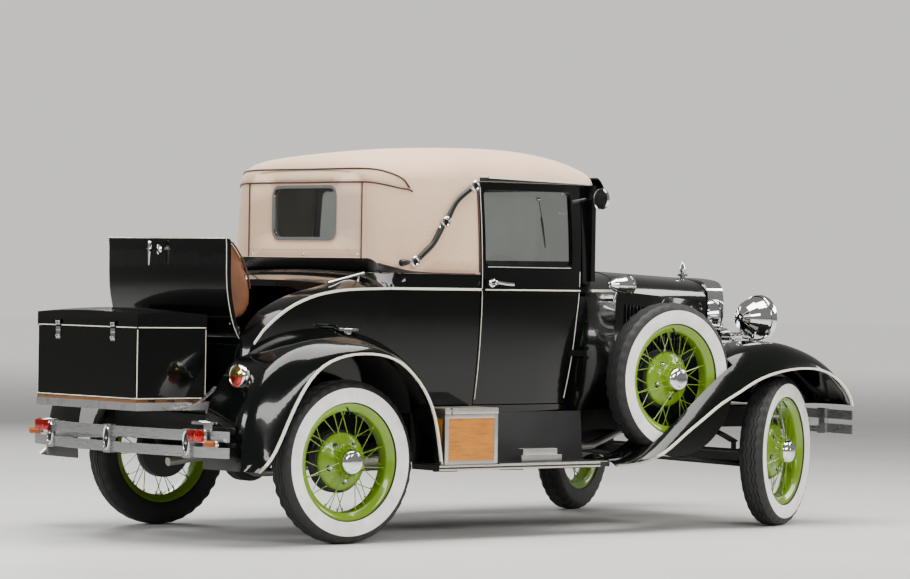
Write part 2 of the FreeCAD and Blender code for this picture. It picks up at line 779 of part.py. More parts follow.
def wire_wheel():
    """A wire wheel about the Y axis with its outer face towards +Y: rim, hub, drum, cap and laced spokes."""
    inner_flange = flange_half - flange_wall
    half = [(flange_half, rim_radius), (flange_half, rim_base_radius),
            (rim_slope_half, rim_well_radius + overrun / 4),
            (rim_well_half, rim_well_radius)]
    seat = [(inner_flange - flange_wall, rim_base_radius), (inner_flange, rim_radius)]
    rim = half + [(-a, r) for a, r in half[::-1]] + [(-a, r) for a, r in seat[::-1]] + seat
    pieces = [spun(rim, ORIGIN), spun(hub_profile, ORIGIN)]
    for i in range(spoke_count):
        turn = i * 360 / spoke_count
        lean = spoke_lean_deg * (1 if i // 2 % 2 else -1)
        if i % 2:
            pieces.append(spoke(turn, outer_spoke_hub, outer_spoke_rim, lean))
        else:
            pieces.append(spoke(turn, inner_spoke_hub, inner_spoke_rim, lean))
    return joined(*pieces)


WHEEL = wire_wheel()
TYRE = tyre()
LEFT_PIN = V(wheelbase, kingpin_half_gauge, tyre_radius)
RIGHT_PIN = V(wheelbase, -kingpin_half_gauge, tyre_radius)


def steered(shape, left):
    """Turns a straight-ahead piece with its knuckle to the photograph's lock."""
    return turned(shape, LEFT_PIN if left else RIGHT_PIN, Z_AXIS, steer_rest_deg)


def set_at(shape, x, y, z):
    """A copy moved to a place, its outer face away from the car's middle."""
    made = shape.copy() if y > 0 else mirrored(shape)
    made.translate(V(x, y, z))
    return made


# Spare wheels in the front wings
spare_x = 1943.0
spare_y = 712.0
spare_z = 715.0
well_wall = 3.0
well_half_width = 66.0

# Wings: sections of (half width, height) swept along a path; shares of each wing's own sizes
wing_wall = 4.0
wing_outer = 845.0
rear_wing_inner = 490.0
rear_wing_angles = [-2, 12, 33, 51, 68, 85, 101, 119, 138, 152, 165, 176, 183]
rear_crown_radius = 555.0
rear_bead_radius = 480.0
rear_crown_shares = [0.884, 0.910, 0.943, 0.970, 0.984, 0.995, 1.0, 1.031, 1.063, 1.081, 1.074, 1.063, 1.063]
rear_bead_shares = [0.942, 0.921, 0.960, 0.992, 1.014, 1.0, 0.998, 0.994, 0.944, 0.927, 0.948, 1.021, 1.167]
rear_rise = 32.0
rear_rise_shares = [0.1, 0.4, 0.8, 1.0, 1.0, 1.0, 1.0, 1.0, 0.9, 0.7, 0.5, 0.3, 0.2]
wing_width_shares = [0.0, 0.40, 0.61, 0.74, 0.875, 0.973, 1.0]


def offset_run(points, distance):
    """A copy of a run of (u, v) points moved to its right by a distance."""
    moved = []
    last = len(points) - 1
    for i in range(last + 1):
        (u0, v0), (u1, v1) = points[max(i - 1, 0)], points[min(i + 1, last)]
        du, dv = u1 - u0, v1 - v0
        length = math.hypot(du, dv)
        moved.append((points[i][0] + dv / length * distance, points[i][1] - du / length * distance))
    return moved


def wing_wire(centre, up, run, thickness):
    """A thin closed section of a wing: a run of (half width, height) in the plane of Y and up."""
    top = [V(centre.x, -w, centre.z) + up * h for w, h in run]
    under = [V(centre.x, -w, centre.z) + up * h for w, h in offset_run(run, thickness)]
    return Part.Wire([spline(top), Part.makeLine(top[-1], under[-1]), spline(under[::-1]),
                      Part.makeLine(under[0], top[0])])


def rear_wing():
    """The right rear wing, fitted to the body's side."""
    wires = []
    width = wing_outer - rear_wing_inner
    for i, angle in enumerate(rear_wing_angles):
        up = V(math.cos(math.radians(angle)), 0, math.sin(math.radians(angle)))
        crown = rear_crown_radius * rear_crown_shares[i]
        bead = rear_bead_radius * rear_bead_shares[i]
        rise = rear_rise * rear_rise_shares[i]
        drop = crown - bead
        heights = [crown + rise, crown + rise * 0.85, crown + rise * 0.5, crown, crown - drop * 0.36,
                   crown - drop * 0.76, bead]
        run = [(rear_wing_inner + width * s, h) for s, h in zip(wing_width_shares, heights)]
        wires.append(wing_wire(V(0, 0, tyre_radius), up, run, wing_wall))
    return largest(loft(wires).cut(body_grown))


# Front wing stations: share of the way from the step to the tip, crown height, slice angle, bead drop,
# inner half width and inner drop, each as a share of the wing's own size
front_wing_rear_x = 1500.0
front_wing_length = 1590.0
front_crown_top = 891.0
front_drop = 170.0
front_inner = 405.0
front_inner_drop = 300.0
front_width_shares = [0.0, 0.03, 0.14, 0.52, 0.76, 0.91, 1.0]
front_wing_shares = [(0.0, 0.389, 90, 0.16, 1.48, 0.01), (0.09, 0.408, 90, 0.20, 1.48, 0.02),
                     (0.173, 0.466, 90, 0.30, 1.45, 0.06), (0.233, 0.54, 90, 0.37, 1.38, 0.16),
                     (0.292, 0.63, 90, 0.48, 1.25, 0.35), (0.352, 0.725, 90, 0.64, 1.1, 0.55),
                     (0.413, 0.82, 90, 0.79, 1.0, 0.72), (0.493, 0.925, 90, 0.99, 1.0, 0.9),
                     (0.555, 0.968, 90, 0.94, 1.0, 0.97), (0.639, 0.995, 90, 0.84, 1.0, 1.0),
                     (0.723, 1.0, 88, 0.75, 1.0, 1.0), (0.80, 0.972, 80, 0.60, 1.0, 0.95),
                     (0.876, 0.92, 64, 0.46, 1.02, 0.85), (0.94, 0.835, 45, 0.34, 1.08, 0.62),
                     (0.985, 0.735, 22, 0.28, 1.16, 0.45), (1.0, 0.655, 4, 0.25, 1.22, 0.30)]


def front_run(station, extra_drop):
    """A front wing section's place, direction and run."""
    along, height, angle, drop_share, inner_share, inner_drop_share = station
    centre = V(front_wing_rear_x + front_wing_length * along, 0, front_crown_top * height)
    up = V(math.cos(math.radians(angle)), 0, math.sin(math.radians(angle)))
    inner = front_inner * inner_share
    width = wing_outer - inner
    drop = front_drop * drop_share
    foot = front_inner_drop * inner_drop_share
    heights = [-foot, -foot * 0.42, -foot * 0.06 - wing_wall, 0, -drop * 0.10, -drop * 0.52, -drop]
    return centre, up, [(inner + width * s, h - extra_drop) for s, h in zip(front_width_shares, heights)]


def front_wing():
    """The right front wing with the recess for the spare wheel."""
    wires = [wing_wire(*front_run(station, 0), wing_wall) for station in front_wing_shares]
    skin = loft(wires)
    wires = []
    for station in front_wing_shares[:11]:
        centre, up, run = front_run(station, wing_wall / 2)
        top = [V(centre.x, -w, centre.z + h) for w, h in run]
        low = [V(top[-1].x, top[-1].y, 0), V(top[0].x, top[0].y, 0)]
        wires.append(Part.Wire([spline(top), Part.makeLine(top[-1], low[0]), Part.makeLine(low[0], low[1]),
                                Part.makeLine(low[1], top[0])]))
    under = loft(wires)
    inner_radius = tyre_radius + fit_gap
    outer = rod(V(spare_x, -spare_y - well_half_width - well_wall, spare_z),
                V(spare_x, -spare_y + well_half_width + well_wall, spare_z), inner_radius + well_wall)
    hollow = rod(V(spare_x, -spare_y - well_half_width, spare_z),
                 V(spare_x, -spare_y + well_half_width, spare_z), inner_radius)
    well = outer.common(under)
    return skin.cut(outer).fuse(well).cut(hollow)


# Running boards and their aprons
board_rear_x = 478.0
board_outer = 800.0
board_inner = 606.0
board_top = 338.0
board_thickness = 24.0
apron_wall = 4.0
apron_top_y = 585.0
bracket_half_width = 16.0
bracket_places = [620.0, 1010.0, 1400.0]


def running_board():
    """The right running board, its apron up to the body and its three brackets."""
    x1 = front_wing_rear_x
    low = board_top - board_thickness
    board = block(board_rear_x, x1, -board_outer, -board_inner, low, board_top)
    apron = prism_x([(-board_inner, low), (-board_inner - apron_wall, low),
                     (-apron_top_y - apron_wall, body_foot),
                     (-apron_top_y, body_foot)], board_rear_x, x1)
    pieces = [board, apron]
    rail_out = rail_half_gauge + rail_width / 2
    rail_low = body_foot - rail_tall
    for x in bracket_places:
        outline = [(-rail_out, rail_low + overrun), (-rail_out, rail_low),
                   (-board_inner, low - apron_wall * 4),
                   (-board_outer + overrun, low - apron_wall * 2), (-board_outer + overrun,
                                                                    low), (-board_inner, low)]
        pieces.append(prism_x(outline, x - bracket_half_width, x + bracket_half_width))
    return largest(joined(*pieces).cut(WING_REAR))


# Chassis
rail_wall = 6.0
cross_width = 60.0
cross_places = [-440.0, 950.0, 1760.0]
spring_width = 57.0
leaf_thickness = 7.0
leaf_reach_shares = [1.0, 0.86, 0.70, 0.54, 0.38, 0.22]
spring_top = 491.0
rear_spring_x = -95.0
rear_spring_half = 560.0
front_spring_half = 450.0
spring_rise = 90.0
perch_radius = 13.0
axle_tube_radius = 34.0
banjo_radius = 122.0
banjo_half = 95.0
shaft_radius = 16.0
hub_face = 30.3
backing_in = 71.5
backing_thickness = 3.5
backing_radius = 139.0
beam_half_depth = 20.0
beam_low = 295.0
beam_high = 345.0
boss_radius = 20.0
boss_low = 327.5
boss_high = 396.5
rail_inner = rail_half_gauge - rail_width / 2
rail_outer = rail_half_gauge + rail_width / 2
rail_low = body_foot - rail_tall


def chassis_frame():
    """Two channel rails and their cross members."""
    rail = block(rail_rear_x, rail_front_x, -rail_outer, -rail_inner, rail_low, body_foot)
    hollow = block(rail_rear_x - overrun, rail_front_x + overrun, -rail_outer + rail_wall,
                   -rail_inner + overrun,
                   rail_low + rail_wall, body_foot - rail_wall)
    pieces = both(rail.cut(hollow))
    for x in cross_places:
        pieces.append(block(x - cross_width / 2, x + cross_width / 2, -rail_outer + rail_wall,
                            rail_outer - rail_wall, rail_low + rail_wall, body_foot - rail_wall))
    for x in (rear_spring_x, wheelbase):
        pieces.append(block(x - cross_width / 2, x + cross_width / 2, -rail_outer + rail_wall,
                            rail_outer - rail_wall, spring_top + fit_gap, body_foot))
    return joined(*pieces)


def leaf_spring(x, half):
    """A crosswise pack of leaves, arched from its ends up to the cross member."""
    pieces = []
    for i, reach in enumerate(leaf_reach_shares):
        points = []
        for y in spread(-half * reach, half * reach, 9):
            points.append(V(x - spring_width / 2, y, spring_top - i * leaf_thickness
                            - spring_rise * (y / half)**2))
        pieces.append(swept_strip(points, V(0, 0, -1), leaf_thickness, V(spring_width, 0, 0)))
    return joined(*pieces)


def rear_axle():
    """The live axle: banjo, tubes, backing plates, shafts, torque tube and radius rods."""
    middle = track / 2
    plate_out = middle - backing_in + backing_thickness
    half = [(banjo_half / 3, banjo_radius), (banjo_half * 0.65, banjo_radius * 0.88),
            (banjo_half, axle_tube_radius), (plate_out - backing_thickness, axle_tube_radius),
            (plate_out - backing_thickness, backing_radius), (plate_out, backing_radius),
            (plate_out, shaft_radius), (middle - hub_face, shaft_radius), (middle - hub_face, 0)]
    profile = [(-a, r) for a, r in half[::-1]] + half
    centre = V(0, 0, tyre_radius)
    gearbox_end = V(gearbox_rear_x, 0, gearbox_axis_z)
    pieces = [spun(profile, centre), rod(centre, gearbox_end, axle_tube_radius * 1.3, axle_tube_radius)]
    rod_end = V(gearbox_rear_x * 0.9, axle_tube_radius, gearbox_axis_z)
    for side in (-1, 1):
        start = V(0, side * (rear_spring_half - perch_radius), tyre_radius - axle_tube_radius / 2)
        pieces.append(rod(start, V(rod_end.x, side * rod_end.y / 2, rod_end.z), perch_radius,
                          perch_radius / 2))
        perch = V(rear_spring_x, side * rear_spring_half, spring_top - spring_rise - leaf_thickness)
        knee = V(rear_spring_x, side * rear_spring_half, tyre_radius)
        pieces.append(rod(V(0, side * rear_spring_half, tyre_radius), knee, perch_radius))
        pieces.append(rod(knee, perch, perch_radius))
        pieces.append(Part.makeSphere(perch_radius, knee))
    return largest(joined(*pieces).cut(engine_block()))


def front_axle():
    """The dropped beam axle with its kingpin bosses, spring perches and wishbone."""
    pin_y = kingpin_half_gauge
    half = [(0, beam_low), (pin_y * 0.76, beam_low), (pin_y * 0.93, boss_low), (pin_y, boss_low),
            (pin_y, boss_high),
            (pin_y * 0.95, boss_high), (pin_y * 0.74, beam_high), (0, beam_high)]
    outline = half[:4] + half[4:]
    beam = prism_x(outline, wheelbase - beam_half_depth, wheelbase + beam_half_depth)
    pieces = both(beam)
    for side in (-1, 1):
        y = side * pin_y
        pieces.append(rod(V(wheelbase, y, boss_low), V(wheelbase, y, boss_high), boss_radius))
        y = side * front_spring_half
        pieces.append(rod(V(wheelbase, y, beam_high - perch_radius),
                          V(wheelbase, y, spring_top - spring_rise - leaf_thickness), perch_radius))
        start = V(wheelbase, side * (pin_y - overrun * 2), beam_low - perch_radius / 2)
        pieces.append(rod(start, V(cross_places[2] + cross_width / 2, 0,
                                   gearbox_low - perch_radius - fit_gap),
                          perch_radius))
    made = joined(*pieces)
    for side in (-1, 1):
        y = side * pin_y
        made = made.cut(rod(V(wheelbase, y, 0), V(wheelbase, y, roof_top), kingpin_radius + fit_gap))
    return made


# Engine and gearbox as plain masses
engine_box = (2100.0, 2560.0, 150.0, 430.0, 930.0)
gearbox_rear_x = 1700.0
gearbox_half_width = 105.0
gearbox_low = 380.0
gearbox_axis_z = 440.0
engine_arm = (2140.0, 2200.0, 480.0, 530.0)


def engine_block():
    """The engine and gearbox as plain blocks, on two arms to the rails."""
    x0, x1, half, z0, z1 = engine_box
    a0, a1, a2, a3 = engine_arm
    engine = block(x0, x1, -half, half, z0, z1)
    gearbox = block(gearbox_rear_x, x0, -gearbox_half_width, gearbox_half_width, gearbox_low, rail_low)
    arms = block(a0, a1, -rail_inner, rail_inner, a2, a3)
    return joined(engine, gearbox, arms)


# Radiator
radiator_half_shares = [(0.94, 0.0), (0.985, 0.45), (1.0, 0.75), (0.985, 0.86), (0.90, 0.945), (0.62, 0.985),
                        (0.0, 1.0)]
core_depth = 60.0
grille_pitch = 13.0
grille_groove = 9.0
grille_depth = 9.0
slat_pairs = 17
cap_radius = 26.0
cap_stem_radius = 14.0
cap_height = 74.0


def radiator_outline(x, inset):
    """The radiator's front outline, drawn in by inset."""
    rise = radiator_top - radiator_foot - 2 * inset
    points = [V(x, -(radiator_half_width - inset) * w, radiator_foot + inset + rise * h)
              for w, h in radiator_half_shares]
    over = points + [V(p.x, -p.y, p.z) for p in points[-2::-1]]
    return Part.Wire([spline(over), Part.makeLine(over[-1], over[0])])


def radiator_shell():
    """The plated shell with its filler cap."""
    depth = V(radiator_depth, 0, 0)
    outer = Part.Face(radiator_outline(radiator_rear_x, 0)).extrude(depth)
    hollow = Part.Face(radiator_outline(radiator_rear_x - overrun,
                                        radiator_rim)).extrude(depth + V(2 * overrun, 0, 0))
    shell = outer.cut(hollow)
    x = radiator_rear_x + radiator_depth / 2
    stem = rod(V(x, 0, radiator_top - radiator_rim / 2), V(x, 0, radiator_top + cap_stem_radius),
               cap_stem_radius)
    profile = [(0, 0), (0, cap_radius), (cap_height * 0.12, cap_radius), (cap_height * 0.2, cap_radius * 0.5),
               (cap_height * 0.5, cap_radius * 0.62), (cap_height * 0.85, cap_radius * 0.3), (cap_height, 0)]
    cap = spun(profile, V(x, 0, radiator_top + cap_stem_radius / 2), Z_AXIS, X_AXIS)
    return shell.multiFuse([stem, cap])


def radiator_core():
    """The radiator core behind the shell's rim, with upright slats across its front."""
    x = radiator_rear_x + (radiator_depth - core_depth) / 2
    core = Part.Face(radiator_outline(x, radiator_rim + fit_gap)).extrude(V(core_depth, 0, 0))
    front = x + core_depth
    grooves = []
    for i in range(-slat_pairs, slat_pairs + 1):
        y = i * grille_pitch
        grooves.append(block(front - grille_depth, front + overrun, y - grille_groove / 2,
                             y + grille_groove / 2,
                             radiator_foot, radiator_top))
    return core.cut(Part.makeCompound(grooves))


# Bonnet
bonnet_rear_x = cowl_front_x + panel_gap
bonnet_front_x = radiator_rear_x - panel_gap
bonnet_front_half_width = 242.0
hinge_line_y = 12.0
hinge_strip_half = 6.0
hinge_strip_depth = 12.0
hinge_clear = 0.45
bonnet_foot_share = 0.97
louvre_count = 22
louvre_first_share = 0.10
louvre_last_share = 0.90
louvre_margin = 60.0
louvre_radius = 7.5


bonnet_under_shares = [(1.0, 0.0), (0.8, 0.8), (0.3, 1.0), (0.0, 1.0)]


def bonnet_place(share):
    """Half width, seam height and crown height of the bonnet a share of the way forward."""
    return (between(bonnet_rear_half_width, bonnet_front_half_width, share),
            between(bonnet_rear_seam, bonnet_front_seam, share), between(cowl_top, radiator_top, share))


def bonnet_top():
    """The right top panel, from the centre hinge to the seam."""
    wires = []
    for share in (0, 0.5, 1):
        x = between(bonnet_rear_x, bonnet_front_x, share)
        half, seam, top = bonnet_place(share)
        run = [V(x, -half, seam), V(x, -half * 0.90, between(seam, top, 0.52)),
               V(x, -half * 0.55, between(seam, top, 0.88)), V(x, -hinge_line_y, top)]
        under = [V(p.x, p.y + bonnet_wall * a, p.z - bonnet_wall * b) for p,
                 (a, b) in zip(run, bonnet_under_shares)]
        wires.append(Part.Wire([spline(run), Part.makeLine(run[-1], under[-1]), spline(under[::-1]),
                                Part.makeLine(under[0], run[0])]))
    return loft(wires)


def bonnet_side():
    """The right side panel, hung from the seam."""
    wires = []
    for share in (0, 0.5, 1):
        x = between(bonnet_rear_x, bonnet_front_x, share)
        half, seam, _ = bonnet_place(share)
        edge = seam - 2 * hinge_clear
        wires.append(polygon([V(x, -half, edge), V(x, -half * bonnet_foot_share, bonnet_foot),
                              V(x, -half * bonnet_foot_share + bonnet_wall, bonnet_foot),
                              V(x, -half + bonnet_wall, edge - bonnet_wall)]))
    panel = loft(wires, True)
    hoods = []
    for i in range(louvre_count):
        share = louvre_first_share + (louvre_last_share - louvre_first_share) * i / (louvre_count - 1)
        x = between(bonnet_rear_x, bonnet_front_x, share)
        half, seam, _ = bonnet_place(share)
        low, high = bonnet_foot + louvre_margin, seam - louvre_margin
        lean = half * (1 - bonnet_foot_share) / (seam - bonnet_foot)
        hoods.append(rod(V(x, -half + lean * (seam - low), low), V(x, -half + lean * (seam - high), high),
                         louvre_radius))
    return panel.multiFuse(hoods)


def bonnet_frame():
    """The fixed strip that both top panels hang on, and the sills under the side panels."""
    wires = []
    for x, top in ((cowl_front_x, cowl_top), (radiator_rear_x, radiator_top)):
        leaf = hinge_line_y - hinge_clear
        shelf = top - bonnet_wall - hinge_clear
        half = [(0, top), (hinge_strip_half, top), (hinge_strip_half, shelf), (leaf, shelf),
                (leaf, top - hinge_strip_depth)]
        wires.append(polygon([V(x, -y, z) for y, z in half[::-1]] + [V(x, y, z) for y, z in half[1:]]))
    sill_top = bonnet_foot - panel_gap
    rear_y = bonnet_rear_half_width * bonnet_foot_share
    front_y = bonnet_front_half_width * bonnet_foot_share
    outline = [(cowl_front_x, -rear_y), (radiator_rear_x, -front_y),
               (radiator_rear_x, -front_y + bonnet_wall),
               (cowl_front_x, -rear_y + bonnet_wall)]
    sill = Part.Face(polygon([V(x, y, body_foot) for x, y in outline])).extrude(V(0, 0, sill_top - body_foot))
    return [loft(wires, True)] + both(sill)


# Steering
arm_height = 345.0
arm_radius = 9.0
arm_knee_out = 10.0
yoke_half_depth = 18.0
yoke_thickness = 17.0
yoke_gap = 1.0
tie_pin_radius = 6.0
tie_eye_radius = 14.0
tie_eye_height = 16.0
tie_rod_radius = 8.0
tie_height = arm_height + arm_radius + yoke_gap + tie_eye_height / 2


def knuckle(side):
    """One knuckle straight ahead: kingpin, yoke, backing plate, spindle and steering arm."""
    y = side * kingpin_half_gauge
    plate_y = side * (track / 2 - backing_in)
    pieces = [rod(V(wheelbase, y, boss_low - yoke_gap - yoke_thickness),
                  V(wheelbase, y, boss_high + yoke_gap + yoke_thickness), kingpin_radius)]
    for z0 in (boss_low - yoke_gap - yoke_thickness, boss_high + yoke_gap):
        pieces.append(block(wheelbase - yoke_half_depth, wheelbase + yoke_half_depth,
                            y - side * yoke_half_depth,
                            plate_y, z0, z0 + yoke_thickness))
    axis = V(wheelbase, plate_y, tyre_radius)
    pieces.append(rod(axis, axis + V(0, side * backing_thickness, 0), backing_radius))
    pieces.append(rod(axis, V(wheelbase, side * (track / 2 - hub_face), tyre_radius), shaft_radius))
    arm_end = V(wheelbase - steering_arm, y, arm_height)
    knee = V(wheelbase - 2 * boss_radius, plate_y - side * arm_knee_out, arm_height)
    pieces.append(rod(V(knee.x, plate_y + side * backing_thickness / 2, knee.z), knee, arm_radius))
    pieces.append(Part.makeSphere(arm_radius, knee))
    pieces.append(rod(knee, arm_end, arm_radius))
    eye = V(0, 0, arm_radius + yoke_gap / 2)
    pieces.append(rod(arm_end - eye, arm_end + eye, tie_eye_radius))
    pieces.append(rod(arm_end, V(arm_end.x, y, tie_height + tie_eye_height), tie_pin_radius))
    return joined(*pieces)


def tie_rod():
    """The tie rod straight ahead, with an eye on each arm's pin."""
    x = wheelbase - steering_arm
    pieces = [rod(V(x, -kingpin_half_gauge, tie_height), V(x, kingpin_half_gauge, tie_height),
                  tie_rod_radius)]
    for side in (-1, 1):
        y = side * kingpin_half_gauge
        pieces.append(rod(V(x, y, tie_height - tie_eye_height / 2), V(x, y, tie_height + tie_eye_height / 2),
                          tie_eye_radius))
    made = joined(*pieces)
    for side in (-1, 1):
        y = side * kingpin_half_gauge
        made = made.cut(rod(V(x, y, 0), V(x, y, roof_top), tie_pin_radius + fit_gap))
    return made


def tie_rod_shift():
    """How far the tie rod has moved at the photograph's lock."""
    angle = math.radians(steer_rest_deg)
    return V(steering_arm * (1 - math.cos(angle)), -steering_arm * math.sin(angle), 0)


wheel_centre = V(1240.0, 330.0, 1118.0)
column_foot = V(1815.0, 330.0, 690.0)
column_radius = 19.0
steering_wheel_radius = 208.0
grip_radius = 12.0
steering_spokes = 4
wheel_hub_radius = 34.0
wheel_hub_height = 30.0


def column_axis():
    """The unit direction down the steering column."""
    along = column_foot - wheel_centre
    along.normalize()
    return along


def steering_column():
    """The column, from under the wheel to the firewall."""
    axis = column_axis()
    start = wheel_centre + axis * (wheel_hub_height / 2 + fit_gap)
    made = rod(start, column_foot, column_radius)
    return made.cut(block(cabin_front_x - fit_gap, cabin_front_x + overrun * 4, -roof_top, roof_top, 0,
                          roof_top))


def steering_wheel():
    """The steering wheel: rim, spokes and hub."""
    axis = column_axis()
    pieces = [Part.makeTorus(steering_wheel_radius, grip_radius, wheel_centre, axis),
              rod(wheel_centre - axis * wheel_hub_height / 2, wheel_centre + axis * wheel_hub_height / 2,
                  wheel_hub_radius)]
    across = Y_AXIS.cross(axis)
    for i in range(steering_spokes):
        angle = math.radians(360 / steering_spokes * (i + 0.5))
        out = Y_AXIS * math.cos(angle) + across * math.sin(angle)
        pieces.append(rod(wheel_centre, wheel_centre + out * steering_wheel_radius, grip_radius / 2))
    return joined(*pieces)


dash_depth = 16.0
dash_low = 1060.0


def dashboard():
    """The instrument board under the windscreen."""
    x0 = windscreen_x + overrun / 2
    wires = [cowl_wire(x, body_wall + fit_gap) for x in (x0, x0 + dash_depth)]
    return loft(wires, True).common(block(x0, x0 + dash_depth, -roof_top, roof_top, dash_low, roof_top))


# Lamps and horn
head_x = 2762.0
head_y = 425.0
head_z = 1002.0
head_profile_shares = [(-0.76, 0.0), (-0.73, 0.20), (-0.56, 0.53), (-0.23, 0.80), (0.18, 0.945), (0.44, 1.0),
                       (0.56, 1.0), (0.60, 0.91), (0.73, 0.45), (0.76, 0.0)]
head_radius = 110.0
lamp_bar_radius = 11.0
lamp_bar_z = 872.0
lamp_bar_end_y = 560.0
lamp_stem_radius = 14.0
horn_y = -300.0
horn_axis_z = 910.0
horn_profile = [(-95.0, 0.0), (-95.0, 36.0), (-40.0, 40.0), (-36.0, 18.0), (60.0, 20.0), (120.0, 34.0),
                (150.0, 66.0), (156.0, 66.0), (126.0, 26.0), (80.0, 0.0)]
horn_x = 2740.0
cowl_lamp = (1770.0, 560.0, 1157.0)
cowl_lamp_radius = 44.0
cowl_lamp_shares = [(-1.75, 0.0), (-1.6, 0.3), (-0.9, 0.72), (0.2, 0.96), (1.0, 1.0), (1.25, 0.95),
                    (1.5, 0.5),
                    (1.6, 0.0)]
cowl_arm_radius = 7.0
cowl_arm_x = 1746.0
cowl_arm_z = 1085.0
tail_lamp = (-500.0, 628.0, 739.0)
tail_lamp_radius = 50.0
tail_lamp_depth = 62.0
tail_stem_radius = 9.0
WING_REAR = rear_wing()
WING_FRONT = front_wing()


def headlamp():
    """The right headlamp's bowl and lens on its stem."""
    bowl = spun([(head_radius * a, head_radius * r) for a, r in head_profile_shares],
                V(head_x, -head_y, head_z),
                X_AXIS)
    stem = rod(V(head_x, -head_y, lamp_bar_z), V(head_x, -head_y, head_z - head_radius * 0.9),
               lamp_stem_radius)
    return bowl.fuse(stem)


def headlamps():
    """Both headlamps on the bar between the front wings, with the horn."""
    knee = V(head_x, -head_y, lamp_bar_z)
    end = V(head_x - overrun / 2, -lamp_bar_end_y, lamp_bar_z - overrun / 2)
    run = rod(knee, end, lamp_bar_radius)
    pieces = both(headlamp()) + both(run) + both(Part.makeSphere(lamp_bar_radius, knee))
    pieces.append(rod(knee, V(knee.x, -knee.y, knee.z), lamp_bar_radius))
    pieces.append(spun(horn_profile, V(horn_x, horn_y, horn_axis_z), X_AXIS))
    pieces.append(rod(V(head_x, horn_y, lamp_bar_z), V(head_x, horn_y, horn_axis_z), lamp_bar_radius))
    made = joined(*pieces)
    return largest(made.cut(WING_FRONT).cut(mirrored(WING_FRONT)))


def small_lamp():
    """The right scuttle lamp on its arm."""
    x, y, z = cowl_lamp
    bowl = spun([(cowl_lamp_radius * a, cowl_lamp_radius * r) for a, r in cowl_lamp_shares], V(x, -y, z),
                X_AXIS)
    knee = V(cowl_arm_x, -y + cowl_lamp_radius / 2, cowl_arm_z)
    inner = V(cowl_arm_x, -side_y(cowl_arm_x, cowl_arm_z) + body_wall, cowl_arm_z)
    arm = joined(rod(V(cowl_arm_x, -y, z - cowl_lamp_radius * 0.5), knee, cowl_arm_radius),
                 rod(knee, inner, cowl_arm_radius), Part.makeSphere(cowl_arm_radius, knee))
    return largest(bowl.fuse(arm).cut(body_solid))


def rear_lamp():
    """The right tail lamp on its stem from the wing."""
    x, y, z = tail_lamp
    r = tail_lamp_radius
    d = tail_lamp_depth
    profile = [(-d * 0.62, 0), (-d * 0.55, r * 0.6), (-d * 0.4, r * 0.93), (-d * 0.3, r), (0, r),
               (d * 0.3, r * 0.8),
               (d * 0.5, 0)]
    drum = spun(profile, V(x, -y, z), X_AXIS)
    stem = rod(V(x, -y, z), V(x + overrun, -y, z - overrun * 1.4), tail_stem_radius)
    return largest(drum.fuse(stem).cut(WING_REAR))


# Bumpers
bumper_bar_height = 46.0
bumper_bar_gap = 24.0
bumper_bar_thickness = 8.0
front_bumper_low = 438.0
rear_bumper_low = 388.0
front_bumper_half = 785.0
rear_bumper_half = 755.0
front_bumper_end_x = 3118.0
rear_bumper_end_x = -655.0
front_bumper_middle_x = front_reach - 10.0
rear_bumper_middle_x = -760.0
clamp_thickness = 10.0
clamp_half_width = 26.0
clamp_places = [533.0, 0.0]
arm_thickness = 12.0
bumper_arm_height = 37.0
arm_lap = 60.0


def bumper(end_x, middle_x, half, low, horn_x, arm_low):
    """A two-bar bumper with its clamps and its arms, which lap the rails' ends."""
    away = 1 if middle_x > end_x else -1

    def face(y):
        return middle_x + (end_x - middle_x) * (y / half)**2
    pieces = []
    for z in (low, low + bumper_bar_height + bumper_bar_gap):
        points = [V(face(y), y, z) for y in spread(-half, half, 11)]
        pieces.append(swept_strip(points, V(-away, 0, 0), bumper_bar_thickness, V(0, 0, bumper_bar_height)))
    high = low + 2 * bumper_bar_height + bumper_bar_gap
    for place in clamp_places:
        for y in sorted({-place, place}):
            x = face(y)
            front = x + away * clamp_thickness
            back = x - away * (bumper_bar_thickness + arm_thickness)
            pieces.append(block(back, front, y - clamp_half_width, y + clamp_half_width, low - panel_gap,
                                high + panel_gap))
    for side in (-1, 1):
        y0 = side * (clamp_places[0] - clamp_half_width)
        y1 = side * (rail_outer - rail_wall - arm_thickness)
        x0 = face(y0) - away * bumper_bar_thickness
        lap_x = horn_x - away * arm_lap
        outline = [V(x0, y0, arm_low), V(x0 - away * arm_thickness, y0 + side * arm_thickness, arm_low),
                   V(horn_x, y1 + side * arm_thickness, arm_low), V(lap_x, y1 + side * arm_thickness,
                                                                    arm_low),
                   V(lap_x, y1, arm_low), V(horn_x, y1, arm_low)]
        pieces.append(Part.Face(polygon(outline)).extrude(V(0, 0, bumper_arm_height)))
    return joined(*pieces)


def bumpers():
    """The front and rear bumpers."""
    inside = rail_low + rail_wall + fit_gap
    under = rail_low - bumper_arm_height
    return [bumper(front_bumper_end_x, front_bumper_middle_x, front_bumper_half, front_bumper_low,
                   rail_front_x,
                   inside),
            bumper(rear_bumper_end_x, rear_bumper_middle_x, rear_bumper_half, rear_bumper_low, rail_rear_x,
                   under)]


# Lamps on the rear bumper's bars
red_lamp = (598.0, 482.0)
red_lamp_radius = 27.0
red_lamp_depth = 24.0
amber_lamp = (683.0, 450.0)
amber_lamp_half = (46.0, 14.0)
amber_lamp_depth = 18.0


def bumper_x(y):
    """Where the rear bumper's outer face is at a half width."""
    return rear_bumper_middle_x + (rear_bumper_end_x - rear_bumper_middle_x) * (y / rear_bumper_half)**2


